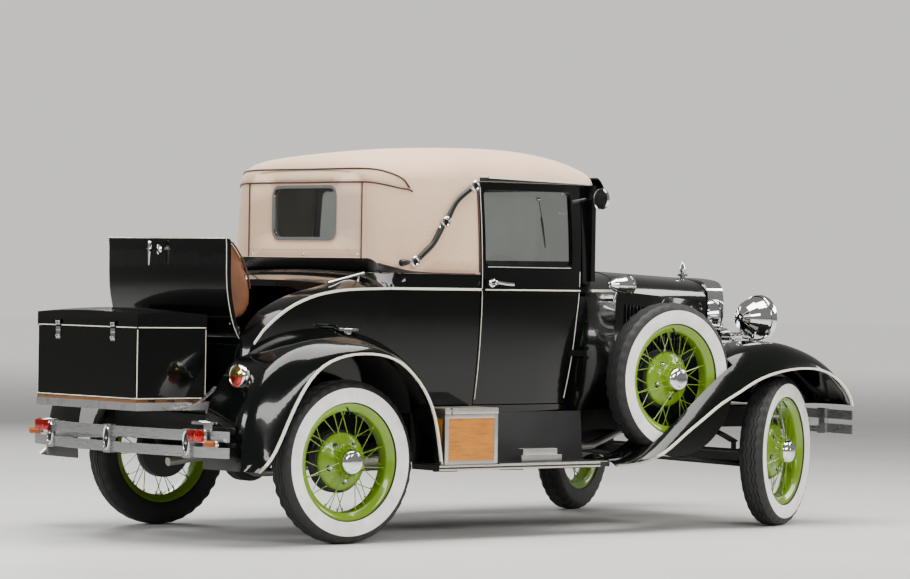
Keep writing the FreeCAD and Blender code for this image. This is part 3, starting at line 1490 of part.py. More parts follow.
def bumper_lamps():
    """The right red lamp and the amber lamp below it, both on the rear bumper's face."""
    y, z = red_lamp
    x = bumper_x(y - red_lamp_radius) - fit_gap
    d = red_lamp_depth
    r = red_lamp_radius
    red = spun([(0, 0), (0, r), (-d * 0.5, r), (-d * 0.8, r * 0.75), (-d, 0)], V(x, -y, z), X_AXIS)
    y, z = amber_lamp
    half_y, half_z = amber_lamp_half
    x = bumper_x(y - half_y) - fit_gap
    amber = block(x - amber_lamp_depth, x, -y - half_y, -y + half_y, z - half_z, z + half_z)
    edges = [e for e in amber.Edges if abs(e.Vertexes[0].X - e.Vertexes[1].X) > half_z]
    return [red, amber.makeFillet(half_z * 0.95, edges)]


# Mouldings: beads on the wings' edges and along the belt, board trims, drip rails and the front apron
bead_radius = 5.0
belt_bead_radius = 5.5
trim_height = 8.0
trim_depth = 3.0
rain_rail_z = 1643.0
rain_rail_fall = 14.0
bead_steps = 36
bead_stand = 0.9
quarter_tuck = 1.4
tail_swell = 0.8
rain_rail_radius = 5.0
apron_plate = 3.0
apron_rear_x = 2648.0
apron_front_x = 2874.0
apron_drop = 96.0
apron_rise = 6.0


def flat_bead(points, radius, y):
    """A square bead in one upright plane along a smooth run of points."""
    run = [(p.x, p.z) for p in spline(points).discretize(bead_steps)]
    return prism_y(offset_run(run, radius) + offset_run(run, -radius)[::-1], y, y - 2 * radius)


def wing_beads():
    """The rolled beads on the right wings' outer edges."""
    rear = []
    for i, angle in enumerate(rear_wing_angles):
        reach = rear_bead_radius * rear_bead_shares[i]
        rear.append(V(reach * math.cos(math.radians(angle)), 0,
                      tyre_radius + reach * math.sin(math.radians(angle))))
    front = []
    for station in front_wing_shares:
        centre, up, run = front_run(station, 0)
        front.append(V(centre.x, 0, centre.z) + up * run[-1][1])
    return [flat_bead(points, bead_radius, -wing_outer - fit_gap) for points in (rear, front)]


def side_bead(x0, x1, height, width, radius, count):
    """A square bead on the right side, at the heights and half widths that two functions give."""
    rings = []
    for x in spread(x0, x1, count):
        z = height(x)
        low = width(x, z - radius) + bead_stand
        high = width(x, z + radius) + bead_stand
        rings.append([V(x, -low, z - radius), V(x, -high, z + radius), V(x, -high - 2 * radius, z + radius),
                      V(x, -low - 2 * radius, z - radius)])
    faces = [Part.Face(polygon(rings[0][:3])), Part.Face(polygon([rings[0][0], rings[0][2], rings[0][3]]))]
    faces += [Part.Face(polygon(rings[-1][:3])), Part.Face(polygon([rings[-1][0], rings[-1][2],
                                                                    rings[-1][3]]))]
    for here, there in zip(rings, rings[1:]):
        for i in range(len(here)):
            j = (i + 1) % len(here)
            faces.append(Part.Face(polygon([here[i], here[j], there[i]])))
            faces.append(Part.Face(polygon([here[j], there[j], there[i]])))
    bead = Part.Solid(Part.Shell(faces))
    if bead.Volume < 0:
        bead.reverse()
    return bead


def belt_z(x):
    """Height of the belt bead along the quarter, door and scuttle."""
    front = (x - roof_rear_x) / (cowl_front_x - roof_rear_x)
    return between(bead_z(roof_rear_x), bonnet_rear_seam, front)


def tail_width(x, z):
    """Half width of the tail's fullest line under the belt bead."""
    return side_y(x, z) + tail_swell


def quarter_width(x, z):
    """Half width of the quarter panel under the belt bead."""
    return side_y(x, z) - quarter_tuck


def rain_rail(x):
    """Height of the drip rail over the door."""
    return rain_rail_z + rain_rail_fall * (b_pillar_x - x) / (windscreen_x - b_pillar_x)


def mouldings():
    """All the bright and black beads and trims that ride on the body and wings, and the front apron."""
    pieces = wing_beads()
    pieces.append(side_bead(tail_x + 2 * body_wall, roof_rear_x - fit_gap, bead_z, tail_width,
                            belt_bead_radius,
                            19))
    pieces.append(side_bead(roof_rear_x + panel_gap, quarter_end - fit_gap, belt_z, quarter_width,
                            belt_bead_radius, 7))
    pieces.append(side_bead(door_hinge_x + 2 * barrel_end, cowl_front_x - fit_gap, belt_z, side_y,
                            belt_bead_radius, 7))
    pieces.append(side_bead(b_pillar_x + overrun, windscreen_x, rain_rail, roof_half_width, rain_rail_radius,
                            7))
    x1 = front_wing_rear_x - overrun
    for z0 in (board_top - board_thickness + fit_gap, board_top - trim_height - fit_gap):
        pieces.append(block(board_rear_x, x1, -board_outer - fit_gap - trim_depth, -board_outer - fit_gap, z0,
                            z0 + trim_height))
    made = []
    for piece in pieces:
        made += both(piece)
    top = body_foot + apron_rise
    plate = block(apron_rear_x, apron_front_x, -rail_outer, rail_outer, top, top + apron_plate)
    front = block(apron_front_x - apron_plate, apron_front_x, -rail_inner, rail_inner, top - apron_drop, top)
    feet = block(apron_front_x - overrun, apron_front_x - overrun / 2, -rail_outer, rail_outer, body_foot,
                 top)
    made.append(joined(plate, front, feet.cut(block(apron_rear_x, apron_front_x, -rail_inner, rail_inner, 0,
                                                    top))))
    return made


# Trunk, rack and running-board box
trunk_rear_x = -885.0
trunk_front_x = -515.0
trunk_half_width = 393.0
trunk_low = 630.0
trunk_seam = 937.0
trunk_high = 1000.0
trunk_crown = 26.0
trunk_wall = 8.0
trunk_corner = 14.0
lid_seam_gap = 0.8
rack_high = 617.0
rack_bar = 30.0
slat_width = 62.0
slat_count = 4
latch_places = [-215.0, 215.0]
latch_width = 34.0
latch_low = 880.0
latch_high = 968.0


def crowned_box(x0, x1, half, low, high, crown):
    """A box whose top is domed both ways."""
    wires = []
    for share in (0, 0.25, 0.5, 0.75, 1):
        x = between(x0, x1, share)
        rise = crown * (1 - (2 * share - 1)**2)
        top = [V(x, y * half, high + rise * 0.4 + (crown * 0.5 + rise * 0.1) * (1 - y**2))
               for y in spread(-1, 1, 7)]
        wires.append(Part.Wire([spline(top), Part.makeLine(top[-1], V(x, half, low)),
                                Part.makeLine(V(x, half, low), V(x, -half, low)),
                                Part.makeLine(V(x, -half, low), top[0])]))
    return loft(wires)


def trunk_body():
    """The trunk's open box with rounded corners."""
    outer = block(trunk_rear_x, trunk_front_x, -trunk_half_width, trunk_half_width, trunk_low, trunk_seam)
    upright = [e for e in outer.Edges if abs(e.Vertexes[0].Z - e.Vertexes[1].Z) > trunk_wall]
    outer = outer.makeFillet(trunk_corner, upright)
    inner = block(trunk_rear_x + trunk_wall, trunk_front_x - trunk_wall, -trunk_half_width + trunk_wall,
                  trunk_half_width - trunk_wall, trunk_low + trunk_wall, trunk_seam + overrun)
    return outer.cut(inner)


def trunk_lid():
    """The domed lid with the upper halves of its two latches."""
    low = trunk_seam + lid_seam_gap
    outer = crowned_box(trunk_rear_x, trunk_front_x, trunk_half_width, low, trunk_high, trunk_crown)
    inner = crowned_box(trunk_rear_x + trunk_wall, trunk_front_x - trunk_wall, trunk_half_width - trunk_wall,
                        low - overrun, trunk_high - trunk_wall, trunk_crown)
    latches = [block(-rear_reach, trunk_rear_x, y - latch_width / 2, y + latch_width / 2, low, latch_high)
               for y in latch_places]
    return outer.cut(inner).multiFuse(latches)


def trunk_latches():
    """The lower halves of the trunk's two latches."""
    return [block(-rear_reach, trunk_rear_x, y - latch_width / 2, y + latch_width / 2, latch_low, trunk_seam)
            for y in latch_places]


strap_run = [(-690.0, 592.0), (-610.0, 606.0), (-545.0, 634.0), (-474.0, 686.0)]
strap_thickness = 7.0
strap_width = 22.0


def luggage_rack():
    """The rack under the trunk, on two feet on the rails' ends, with a strap arm up each side."""
    low = rack_high - 2 * rack_bar / 2 - panel_gap
    half = trunk_half_width - rack_bar / 2
    front = tail_x - panel_gap
    pieces = []
    for side in (-1, 1):
        y = side * half
        pieces.append(block(trunk_rear_x, front, y - rack_bar / 2, y + rack_bar / 2, low, rack_high))
        foot = side * rail_half_gauge
        pieces.append(block(rail_rear_x, front, foot - rail_width / 2, foot + rail_width / 2, body_foot, low))
    for x in (trunk_rear_x + rack_bar / 2, front - rack_bar / 2):
        pieces.append(block(x - rack_bar / 2, x + rack_bar / 2, -half, half, low, rack_high))
    for side in (-1, 1):
        points = [V(x, side * trunk_half_width, z) for x, z in strap_run]
        pieces.append(swept_strip(points, V(0, 0, -1), strap_thickness, V(0, side * strap_width, 0)))
    return joined(*pieces)


def rack_slats():
    """Four wooden slats between the rack and the trunk."""
    slats = []
    half = trunk_half_width - panel_gap
    for x in spread(trunk_rear_x + slat_width / 2, trunk_front_x - slat_width / 2, slat_count):
        slats.append(block(x - slat_width / 2, x + slat_width / 2, -half, half, rack_high, trunk_low))
    return slats


box_rear_x = 520.0
box_front_x = 826.0
box_outer = 790.0
box_inner = 614.0
box_seam = 566.0
box_high = 592.0
box_wall = 10.0
box_rim = 2.0


def board_box():
    """The wooden box on the right running board."""
    outer = block(box_rear_x, box_front_x, -box_outer + box_rim, -box_inner, board_top, box_seam)
    inner = block(box_rear_x + box_wall, box_front_x - box_wall, -box_outer + box_rim + box_wall,
                  -box_inner - box_wall, board_top + box_wall, box_seam + overrun)
    return outer.cut(inner)


def board_box_lid():
    """The box's flat lid with its rim."""
    low = box_seam + lid_seam_gap
    return block(box_rear_x - box_rim, box_front_x + box_rim, -box_outer, -box_inner, low, box_high)


# Handles, steps, mirror and exhaust
grab_rear = (65.0, 1147.0)
grab_front = (268.0, 1194.0)
grab_y = -500.0
grab_radius = 7.0
step_pad = (30.0, -690.0, 946.0)
step_pad_radius = 54.0
step_pad_thickness = 8.0
bumper_step = (-700.0, -640.0, 542.0)
bumper_step_radius = 56.0
mirror_place = (1518.0, 690.0, 1557.0)
mirror_radius = 48.0
mirror_thickness = 12.0
exhaust_radius = 19.0
muffler_radius = 62.0
muffler_places = (400.0, 740.0)
exhaust_route = [(2150.0, -135.0, 440.0), (1900.0, -215.0, 380.0), (300.0, -215.0, 340.0),
                 (60.0, -230.0, 292.0),
                 (-120.0, -230.0, 292.0), (-330.0, -230.0, 380.0), (-600.0, -230.0, 350.0)]


def grab_handle():
    """The grab handle beside the rumble seat."""
    start, end = [V(x, grab_y, z) for x, z in (grab_rear, grab_front)]
    pieces = [rod(start, end, grab_radius)]
    for share in (0.14, 0.86):
        top = V(between(start.x, end.x, share), grab_y, between(start.z, end.z, share))
        pieces.append(rod(top, top - V(0, 0, overrun), grab_radius * 0.8))
    return largest(joined(*pieces).cut(body_solid))


def fender_step():
    """The round step pad on the right rear wing."""
    x, y, z = step_pad
    pad = rod(V(x, y, z), V(x, y, z - step_pad_thickness), step_pad_radius)
    stem = rod(V(x, y, z - step_pad_thickness), V(x, y, z - overrun), step_pad_radius * 0.4)
    return largest(pad.fuse(stem).cut(WING_REAR))


def bumper_step_pad():
    """The step pad on the rear bumper's right side."""
    x, y, z = bumper_step
    top = rear_bumper_low + 2 * bumper_bar_height + bumper_bar_gap
    pad = rod(V(x, y, z), V(x, y, z - step_pad_thickness), bumper_step_radius)
    bar_x = rear_bumper_middle_x + (rear_bumper_end_x - rear_bumper_middle_x) * (y / rear_bumper_half)**2
    post = block(bar_x, bar_x + bumper_bar_thickness, y - clamp_half_width, y + clamp_half_width, top,
                 z - step_pad_thickness / 2)
    return pad.fuse(post)


def mirror():
    """The round mirror on the right windscreen post."""
    x, y, z = mirror_place
    disc = rod(V(x, -y, z), V(x + mirror_thickness, -y, z), mirror_radius)
    arm = rod(V(x + mirror_thickness, -y, z), V(x + overrun / 2, -side_y(x, z) + post_wall / 2, z),
              grab_radius)
    return largest(disc.fuse(arm).cut(SHELL).cut(window_frames()[1]))


def exhaust():
    """The exhaust pipe and silencer under the right of the car."""
    points = [V(*p) for p in exhaust_route]
    pieces = [rod(a, b, exhaust_radius) for a, b in zip(points, points[1:])]
    pieces += [Part.makeSphere(exhaust_radius, p) for p in points[1:-1]]
    x0, x1 = muffler_places
    run = points[1] - points[2]

    def on_run(x):
        return points[2] + run * ((x - points[2].x) / run.x)
    pieces.append(rod(on_run(x0), on_run(x1), muffler_radius))
    return largest(joined(*pieces).cut(engine_block()))


os.makedirs("parts", exist_ok=True)
SHELL = body_shell()
FABRIC = fabric_top()
export("chassis_frame", chassis_frame())
export("front_axle", front_axle())
export("rear_axle", rear_axle())
export("springs", leaf_spring(rear_spring_x, rear_spring_half), leaf_spring(wheelbase, front_spring_half))
export("engine_block", engine_block())
export("exhaust", exhaust())
export("radiator_shell", radiator_shell())
export("radiator_core", radiator_core())
export("front_wing_right", WING_FRONT)
export("front_wing_left", mirrored(WING_FRONT))
export("rear_wing_right", WING_REAR)
export("rear_wing_left", mirrored(WING_REAR))
export("running_boards", *both(running_board()))
export("body_shell", SHELL)
export("fabric_top", FABRIC)
export("window_frames", *window_frames())
export("window_glass", *window_glass())
export("sun_visor", sun_visor())
export("landau_irons", *both(landau_iron()))
export("cabin_seat", cabin_seat())
export("rumble_seat", rumble_seat())
export("rumble_lid", rumble_lid())
export("rumble_backrest", rumble_backrest())
export("dashboard", dashboard())
export("steering_column", steering_column())
export("steering_wheel", steering_wheel())
export("headlamps", headlamps())
tail_lamps = [lamp for made in bumper_lamps() for lamp in both(made)]
export("small_lamps", *both(small_lamp()), *both(rear_lamp()), *tail_lamps)
export("mouldings", *mouldings())
export("bumpers", *bumpers())
export("luggage_rack", luggage_rack())
export("rack_slats", *rack_slats())
export("trunk_body", trunk_body())
export("trunk_latches", *trunk_latches())
export("trunk_lid", trunk_lid())
export("board_box", board_box())
export("board_box_lid", board_box_lid())
export("handles_and_steps", grab_handle(), fender_step(), bumper_step_pad(), mirror())
door_bead = side_bead(b_pillar_x + fit_gap, door_front(belt_height) - hinge_leaf_lap - panel_gap, belt_z,
                      side_y,
                      belt_bead_radius, 7)
export("door_right", door(), door_bead)
export("door_left", mirrored(door()), mirrored(door_bead))
export("door_glass_right", door_glass())
export("door_glass_left", mirrored(door_glass()))
export("bonnet_frame", *bonnet_frame())
export("bonnet_top_right", bonnet_top())
export("bonnet_top_left", mirrored(bonnet_top()))
export("bonnet_side_right", bonnet_side())
export("bonnet_side_left", mirrored(bonnet_side()))
axle_y = track / 2
export("knuckle_left", steered(knuckle(1), True))
export("knuckle_right", steered(knuckle(-1), False))
link = tie_rod()
link.translate(tie_rod_shift())
export("tie_rod", link)
for kind, shape in (("tyre", TYRE), ("wheel", WHEEL)):
    export(kind + "_front_left", steered(set_at(shape, wheelbase, axle_y, tyre_radius), True))
    export(kind + "_front_right", steered(set_at(shape, wheelbase, -axle_y, tyre_radius), False))
    export(kind + "_rear_left", set_at(shape, 0, axle_y, tyre_radius))
    export(kind + "_rear_right", set_at(shape, 0, -axle_y, tyre_radius))
    export("spare_" + kind + "s", set_at(shape, spare_x, spare_y, spare_z),
           set_at(shape, spare_x, -spare_y, spare_z))
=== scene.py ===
"""Finishes and fine parts of a closed two-seat coupe of about 1930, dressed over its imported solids.

Lengths are metres in the car's own frame: +X to its front, +Y to its left, +Z up, on the ground at the middle.
"""
from __future__ import annotations

import json
import logging
import math
from dataclasses import dataclass, field
from enum import Enum
from typing import Iterable, Sequence

import bmesh
import bpy
from mathutils import Matrix, Vector
from mathutils.bvhtree import BVHTree


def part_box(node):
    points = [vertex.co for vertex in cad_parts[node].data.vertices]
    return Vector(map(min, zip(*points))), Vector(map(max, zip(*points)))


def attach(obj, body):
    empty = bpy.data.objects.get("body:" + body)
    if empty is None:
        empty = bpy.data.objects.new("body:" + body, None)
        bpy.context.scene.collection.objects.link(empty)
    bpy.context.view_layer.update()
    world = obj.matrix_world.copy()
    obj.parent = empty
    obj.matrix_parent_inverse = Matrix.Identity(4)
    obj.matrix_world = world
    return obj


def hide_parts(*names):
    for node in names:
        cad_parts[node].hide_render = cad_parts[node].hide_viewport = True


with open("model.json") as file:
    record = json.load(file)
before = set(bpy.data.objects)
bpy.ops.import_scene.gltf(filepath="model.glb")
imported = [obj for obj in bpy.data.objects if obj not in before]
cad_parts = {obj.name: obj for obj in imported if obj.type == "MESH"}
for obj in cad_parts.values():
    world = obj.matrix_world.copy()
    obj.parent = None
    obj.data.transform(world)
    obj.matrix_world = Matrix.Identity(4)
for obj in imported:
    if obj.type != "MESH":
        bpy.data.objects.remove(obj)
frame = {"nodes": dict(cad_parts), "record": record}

LOG = logging.getLogger("coupe")
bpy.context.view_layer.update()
AXLE_X = -1.163
TURN = 2 * math.pi
AHEAD, ASTERN, UP = Vector((1, 0, 0)), Vector((-1, 0, 0)), Vector((0, 0, 1))
DEEP_BLACK = (0.004, 0.0042, 0.004)
Colour = tuple[float, float, float]
Point = tuple[float, float, float]
Profile = Sequence[tuple[float, float]]
Face = tuple[int, ...]
Socket = bpy.types.NodeSocket
Tree = bpy.types.NodeTree


def at(x: float, y: float, z: float) -> Vector:
    """A point given from the rear axle in millimetres, as a point of the car's frame."""
    return Vector((AXLE_X + x / 1000, y / 1000, z / 1000))


def shift(x: float, y: float, z: float) -> Matrix:
    """The move to a point given as for at()."""
    return Matrix.Translation(at(x, y, z))


# ---------------------------------------------------------------- finishes


class Graph:
    """A material's node tree, with short ways to add the nodes that the finishes share."""

    def __init__(self, name: str) -> None:
        """Starts a material with one Principled shader on its output.

        Args:
            name: the material's name.
        """
        self.material = bpy.data.materials.new(name)
        self.material.use_nodes = True
        self.tree = self.material.node_tree
        self.tree.nodes.clear()
        out = self.node("OutputMaterial")
        self.shader = self.node("BsdfPrincipled")
        self.place = self.node("TexCoord").outputs["Object"]
        self.put(out.inputs["Surface"], self.shader.outputs["BSDF"])

    def put(self, target: Socket, value: Socket | float | tuple[float, ...]) -> None:
        """Links an input to an output, or sets it.

        Args:
            target: the input.
            value: an output, a number, a vector or a colour.
        """
        if isinstance(value, Socket):
            self.tree.links.new(value, target)
        elif isinstance(value, tuple):
            target.default_value = (*value, 1.0)[:len(target.default_value)]
        else:
            target.default_value = value

    def node(self, kind: str, **values: object) -> bpy.types.Node:
        """Adds a node.

        Args:
            kind: its type, without ShaderNode.
            values: what its inputs get, spaces in their names written as underscores.

        Returns:
            The node.
        """
        node = self.tree.nodes.new("ShaderNode" + kind)
        for name, value in values.items():
            self.put(node.inputs[name.replace("_", " ")], value)
        return node

    def set(self, **values: object) -> None:
        """Links or sets the shader's own inputs, spaces written as underscores."""
        for name, value in values.items():
            self.put(self.shader.inputs[name.replace("_", " ")], value)

    def stretched(self, scale: Point) -> Socket:
        """Object coordinates scaled along each axis."""
        return self.node("Mapping", Scale=scale, Vector=self.place).outputs["Vector"]

    def axes(self) -> Sequence[Socket]:
        """The X, Y and Z of the object coordinates."""
        return self.node("SeparateXYZ", Vector=self.place).outputs

    def noise(self, scale: float, detail: float = 2.0, where: Socket | None = None, rough: float = 0.5) -> Socket:
        """A noise field of so many features per metre, with finer layers and their weight."""
        node = self.node("TexNoise", Scale=scale, Detail=detail, Roughness=rough, Vector=where or self.place)
        return node.outputs["Fac"]

    def bands(self, axis: str, scale: float, bend: float = 0.0) -> Socket:
        """Sine bands across one axis.

        Args:
            axis: X, Y or Z.
            scale: bands per metre, as Blender counts them.
            bend: how much noise bends them.

        Returns:
            The bands' value.
        """
        node = self.node("TexWave", Scale=scale, Distortion=bend, Vector=self.place)
        node.bands_direction = axis
        return node.outputs["Fac"]

    def cells(self, scale: float) -> Socket:
        """The distance field of small cells, so many per metre, for grain."""
        return self.node("TexVoronoi", Scale=scale, Vector=self.place).outputs["Distance"]

    def calc(self, kind: str, first: Socket, second: Socket | float) -> Socket:
        """Works out one thing from two values.

        Args:
            kind: the Math node's operation.
            first: the first value.
            second: the second value or a number.

        Returns:
            The result.
        """
        node = self.node("Math")
        node.operation = kind
        self.put(node.inputs[0], first)
        self.put(node.inputs[1], second)
        return node.outputs[0]

    def mix(self, kind: str, share: Socket | float, first: Socket, second: Socket | Colour) -> Socket:
        """Mixes two colours.

        Args:
            kind: the Mix node's way of blending.
            share: how much the second one counts.
            first: the first colour.
            second: the second colour.

        Returns:
            The mixed colour.
        """
        node = self.node("Mix")
        node.data_type, node.blend_type = "RGBA", kind
        for socket, value in (("Factor", share), (6, first), (7, second)):
            self.put(node.inputs[socket], value)
        return node.outputs[2]

    def ramp(self, value: Socket, stops: Sequence[tuple[float, Colour]]) -> Socket:
        """A colour for each value.

        Args:
            value: the value that chooses the colour.
            stops: places and their colours.

        Returns:
            The colour.
        """
        node = self.node("ValToRGB", Fac=value)
        elements = node.color_ramp.elements
        while len(elements) < len(stops):
            elements.new(0.5)
        for element, (place, colour) in zip(elements, stops):
            element.position, element.color = place, (*colour, 1.0)
        return node.outputs["Color"]

    def tint(self, value: Socket, colour: Colour, *shades: tuple[float, float]) -> Socket:
        """Shades of one colour along a value, each given by its place and its share of the colour."""
        return self.ramp(value, [(place, shade(colour, share)) for place, share in shades])

    def spread(self, value: Socket, low: float, high: float) -> Socket:
        """A value of 0 to 1, spread from a low to a high number."""
        return self.node("MapRange", To_Min=low, To_Max=high, Value=value).outputs["Result"]

    def bump(self, height: Socket, strength: float, depth: float) -> None:
        """Bumps the surface by a field, with a share of the effect and a depth in metres."""
        self.set(Normal=self.node("Bump", Strength=strength, Distance=depth, Height=height).outputs["Normal"])


def shade(colour: Colour, share: float) -> Colour:
    """A colour made darker or lighter by a share."""
    return tuple(min(1.0, c * share) for c in colour)


@dataclass(frozen=True)
class Enamel:
    """Deep sprayed enamel under a clear coat, with a little dust and orange peel."""

    name: str
    colour: Colour
    roughness: float = 0.22
    coat: float = 1.0
    dust: float = 0.05
    gloss: float = 0.3
    coat_index: float = 1.42

    def build(self) -> bpy.types.Material:
        """Builds the material."""
        g = Graph(self.name)
        g.set(Coat_Weight=self.coat, Coat_Roughness=0.025, Coat_IOR=self.coat_index, IOR=1.5,
              Specular_IOR_Level=self.gloss,
              Base_Color=g.tint(g.noise(2.6, 5.0), self.colour, (0.3, 0.82), (0.7, 1.16)),
              Roughness=g.spread(g.noise(9.0, 6.0), self.roughness, self.roughness + self.dust))
        g.bump(g.noise(420.0, 1.0), strength=0.05, depth=0.0004)
        return g.material


@dataclass(frozen=True)
class Plating:
    """Bright metal, polished or brushed, with faint smears."""

    name: str
    colour: Colour
    roughness: float
    grain: Point = (1.0, 1.0, 1.0)
    relief: float = 0.02

    def build(self) -> bpy.types.Material:
        """Builds the material."""
        g = Graph(self.name)
        smear = g.noise(14.0, 6.0, g.stretched(self.grain))
        g.set(Metallic=1.0, Base_Color=g.tint(smear, self.colour, (0.25, 0.9), (0.75, 1.0)),
              Roughness=g.spread(smear, self.roughness * 0.7, self.roughness * 1.4))
        g.bump(g.noise(160.0, 2.0, g.stretched(self.grain)), self.relief, depth=0.0006)
        return g.material


@dataclass(frozen=True)
class Canvas:
    """Close woven top cloth in faded patches, with black strips where its edges tuck behind the body."""

    name: str
    colour: Colour
    threads: float = 160.0
    bordered: bool = False
    border_foot: Profile = ((0.0, 0.72), (0.02, 0.5), (0.104, 0.32), (0.26, 0.18), (0.504, 0.11), (0.784, 0.09))
    border_from: float = 0.855
    border_low: float = 1.19
    header: Point = (-0.318, 1.646, 0.026)

    def border(self, g: Graph) -> Socket:
        """Where the cloth tucks behind black body edges: under its hem and under the drip rail.

        Args:
            g: the material's graph.

        Returns:
            1 in the tucked strips and 0 elsewhere.
        """
        x, _, z = g.axes()
        along = g.calc("MULTIPLY", g.calc("ADD", x, self.border_from), 2.0)
        foot = g.ramp(along, [(place, (v, v, v)) for place, v in self.border_foot])
        foot = g.calc("ADD", g.calc("MULTIPLY", foot, 0.1), self.border_low)
        low = g.calc("LESS_THAN", z, foot)
        start, height, fall = self.header
        rail = g.calc("ADD", g.calc("MULTIPLY", g.calc("ADD", x, -start), -fall), height)
        ahead = g.calc("GREATER_THAN", x, start)
        return g.calc("MAXIMUM", low, g.calc("MULTIPLY", ahead, g.calc("LESS_THAN", z, rail)))

    def build(self) -> bpy.types.Material:
        """Builds the material."""
        g = Graph(self.name)
        g.set(Roughness=0.86, Sheen_Weight=0.25, Sheen_Roughness=0.5)
        x, y, z, x_again = (g.bands(axis, self.threads * share, 0.6)
                            for axis, share in (("X", 1.0), ("Y", 1.0), ("Z", 1.0), ("X", 0.97)))
        weave = g.calc("ADD", g.calc("MULTIPLY", x, z), g.calc("MULTIPLY", y, x_again))
        tone = g.tint(g.noise(1.7, 6.0, rough=0.62), self.colour, (0.25, 0.84), (0.5, 1.0), (0.8, 1.12))
        thread = g.ramp(weave, [(0.0, (0.9, 0.89, 0.88)), (0.7, (1.0, 1.0, 1.0))])
        cloth = g.mix("MULTIPLY", 1.0, tone, thread)
        if self.bordered:
            edge = self.border(g)
            cloth = g.mix("MIX", edge, cloth, DEEP_BLACK)
            g.set(Roughness=g.spread(edge, 0.86, 0.3), Sheen_Weight=g.spread(edge, 0.25, 0.0))
        g.set(Base_Color=cloth)
        g.bump(g.calc("ADD", weave, g.calc("MULTIPLY", g.noise(5.0, 3.0), 5.0)), strength=0.14, depth=0.001)
        return g.material


@dataclass(frozen=True)
class Hide:
    """Grained leather with worn, lighter crowns."""

    name: str
    colour: Colour

    def build(self) -> bpy.types.Material:
        """Builds the material."""
        g = Graph(self.name)
        wear = g.noise(7.0, 7.0, rough=0.6)
        g.set(Coat_Weight=0.12, Coat_Roughness=0.3, Specular_IOR_Level=0.45, Roughness=g.spread(wear, 0.34, 0.55),
              Base_Color=g.tint(wear, self.colour, (0.28, 0.6), (0.52, 1.0), (0.78, 1.5)))
        g.bump(g.calc("ADD", g.cells(520.0), g.noise(60.0, 4.0)), strength=0.35, depth=0.0012)
        return g.material


@dataclass(frozen=True)
class Rubber:
    """Rubber with a little bloom."""

    name: str
    colour: Colour
    roughness: float = 0.62

    def build(self) -> bpy.types.Material:
        """Builds the material."""
        g = Graph(self.name)
        bloom = g.noise(11.0, 6.0, rough=0.65)
        g.set(Base_Color=g.tint(bloom, self.colour, (0.3, 0.8), (0.75, 1.25)),
              Roughness=g.spread(bloom, self.roughness - 0.12, self.roughness + 0.14))
        g.bump(g.noise(240.0, 3.0), strength=0.12, depth=0.0008)
        return g.material


@dataclass(frozen=True)
class Timber:
    """Varnished wood with its grain along the car."""

    name: str
    light: Colour
    dark: Colour

    def build(self) -> bpy.types.Material:
        """Builds the material."""
        g = Graph(self.name)
        grain = g.noise(3.4, 8.0, g.stretched((3.0, 26.0, 26.0)), 0.62)
        patch = g.noise(9.0, 3.0)
        mixed = g.calc("ADD", g.calc("MULTIPLY", grain, 0.7), g.calc("MULTIPLY", patch, 0.3))
        g.set(Coat_Weight=0.45, Coat_Roughness=0.12, Roughness=g.spread(grain, 0.3, 0.48),
              Base_Color=g.ramp(mixed, [(0.3, self.dark), (0.5, shade(self.light, 0.8)), (0.68, self.light)]))
        g.bump(grain, strength=0.12, depth=0.001)
        return g.material


@dataclass(frozen=True)
class Pane:
    """Clear or tinted glass."""

    name: str
    colour: Colour
    roughness: float = 0.01
    glow: float = 0.0

    def build(self) -> bpy.types.Material:
        """Builds the material."""
        g = Graph(self.name)
        haze = g.noise(6.0, 4.0)
        g.set(Transmission_Weight=1.0, IOR=1.45, Emission_Strength=self.glow, Emission_Color=self.colour,
              Base_Color=g.tint(haze, self.colour, (0.3, 0.94), (0.7, 1.0)),
              Roughness=g.spread(haze, self.roughness, self.roughness + 0.03))
        return g.material


@dataclass(frozen=True)
class SplitPlating:
    """Bright metal on one side of a plane and black enamel on the other."""

    name: str
    colour: Colour
    axis: str
    limit: float
    bright_above: bool
    roughness: float = 0.1

    def build(self) -> bpy.types.Material:
        """Builds the material."""
        g = Graph(self.name)
        bright = g.calc("GREATER_THAN" if self.bright_above else "LESS_THAN", g.axes()[self.axis], self.limit)
        g.set(Coat_Weight=0.5, Coat_Roughness=0.04, Coat_IOR=1.42, Metallic=bright,
              Base_Color=g.ramp(bright, [(0.0, DEEP_BLACK), (1.0, self.colour)]),
              Roughness=g.spread(g.noise(14.0, 5.0), self.roughness * 0.7, self.roughness * 1.5))
        g.bump(g.noise(160.0, 2.0), strength=0.03, depth=0.0005)
        return g.material


@dataclass(frozen=True)
class EdgeTrim:
    """One finish for the mouldings: plated board trims, black apron and pale beads, told apart by their place. The
    beads' cream is part pinstripe, part painted highlight.
    """

    name: str
    bead: Colour
    board_height: float = 0.36
    apron_reach: float = 0.385

    def build(self) -> bpy.types.Material:
        """Builds the material."""
        g = Graph(self.name)
        _, y, z = g.axes()
        low = g.calc("LESS_THAN", z, self.board_height)
        side = g.calc("GREATER_THAN", g.calc("ABSOLUTE", y, 0.0), self.apron_reach)
        g.set(Coat_Weight=0.6, Coat_Roughness=0.05, Metallic=g.calc("MULTIPLY", low, side),
              # cream on the side beads: partly pinstripe, partly a painted highlight along the rolled beads
              Base_Color=g.ramp(side, [(0.0, (0.008, 0.009, 0.008)), (1.0, self.bead)]),
              Roughness=g.spread(g.noise(12.0, 4.0), 0.18, 0.3))
        g.bump(g.noise(200.0, 2.0), strength=0.03, depth=0.0004)
        return g.material


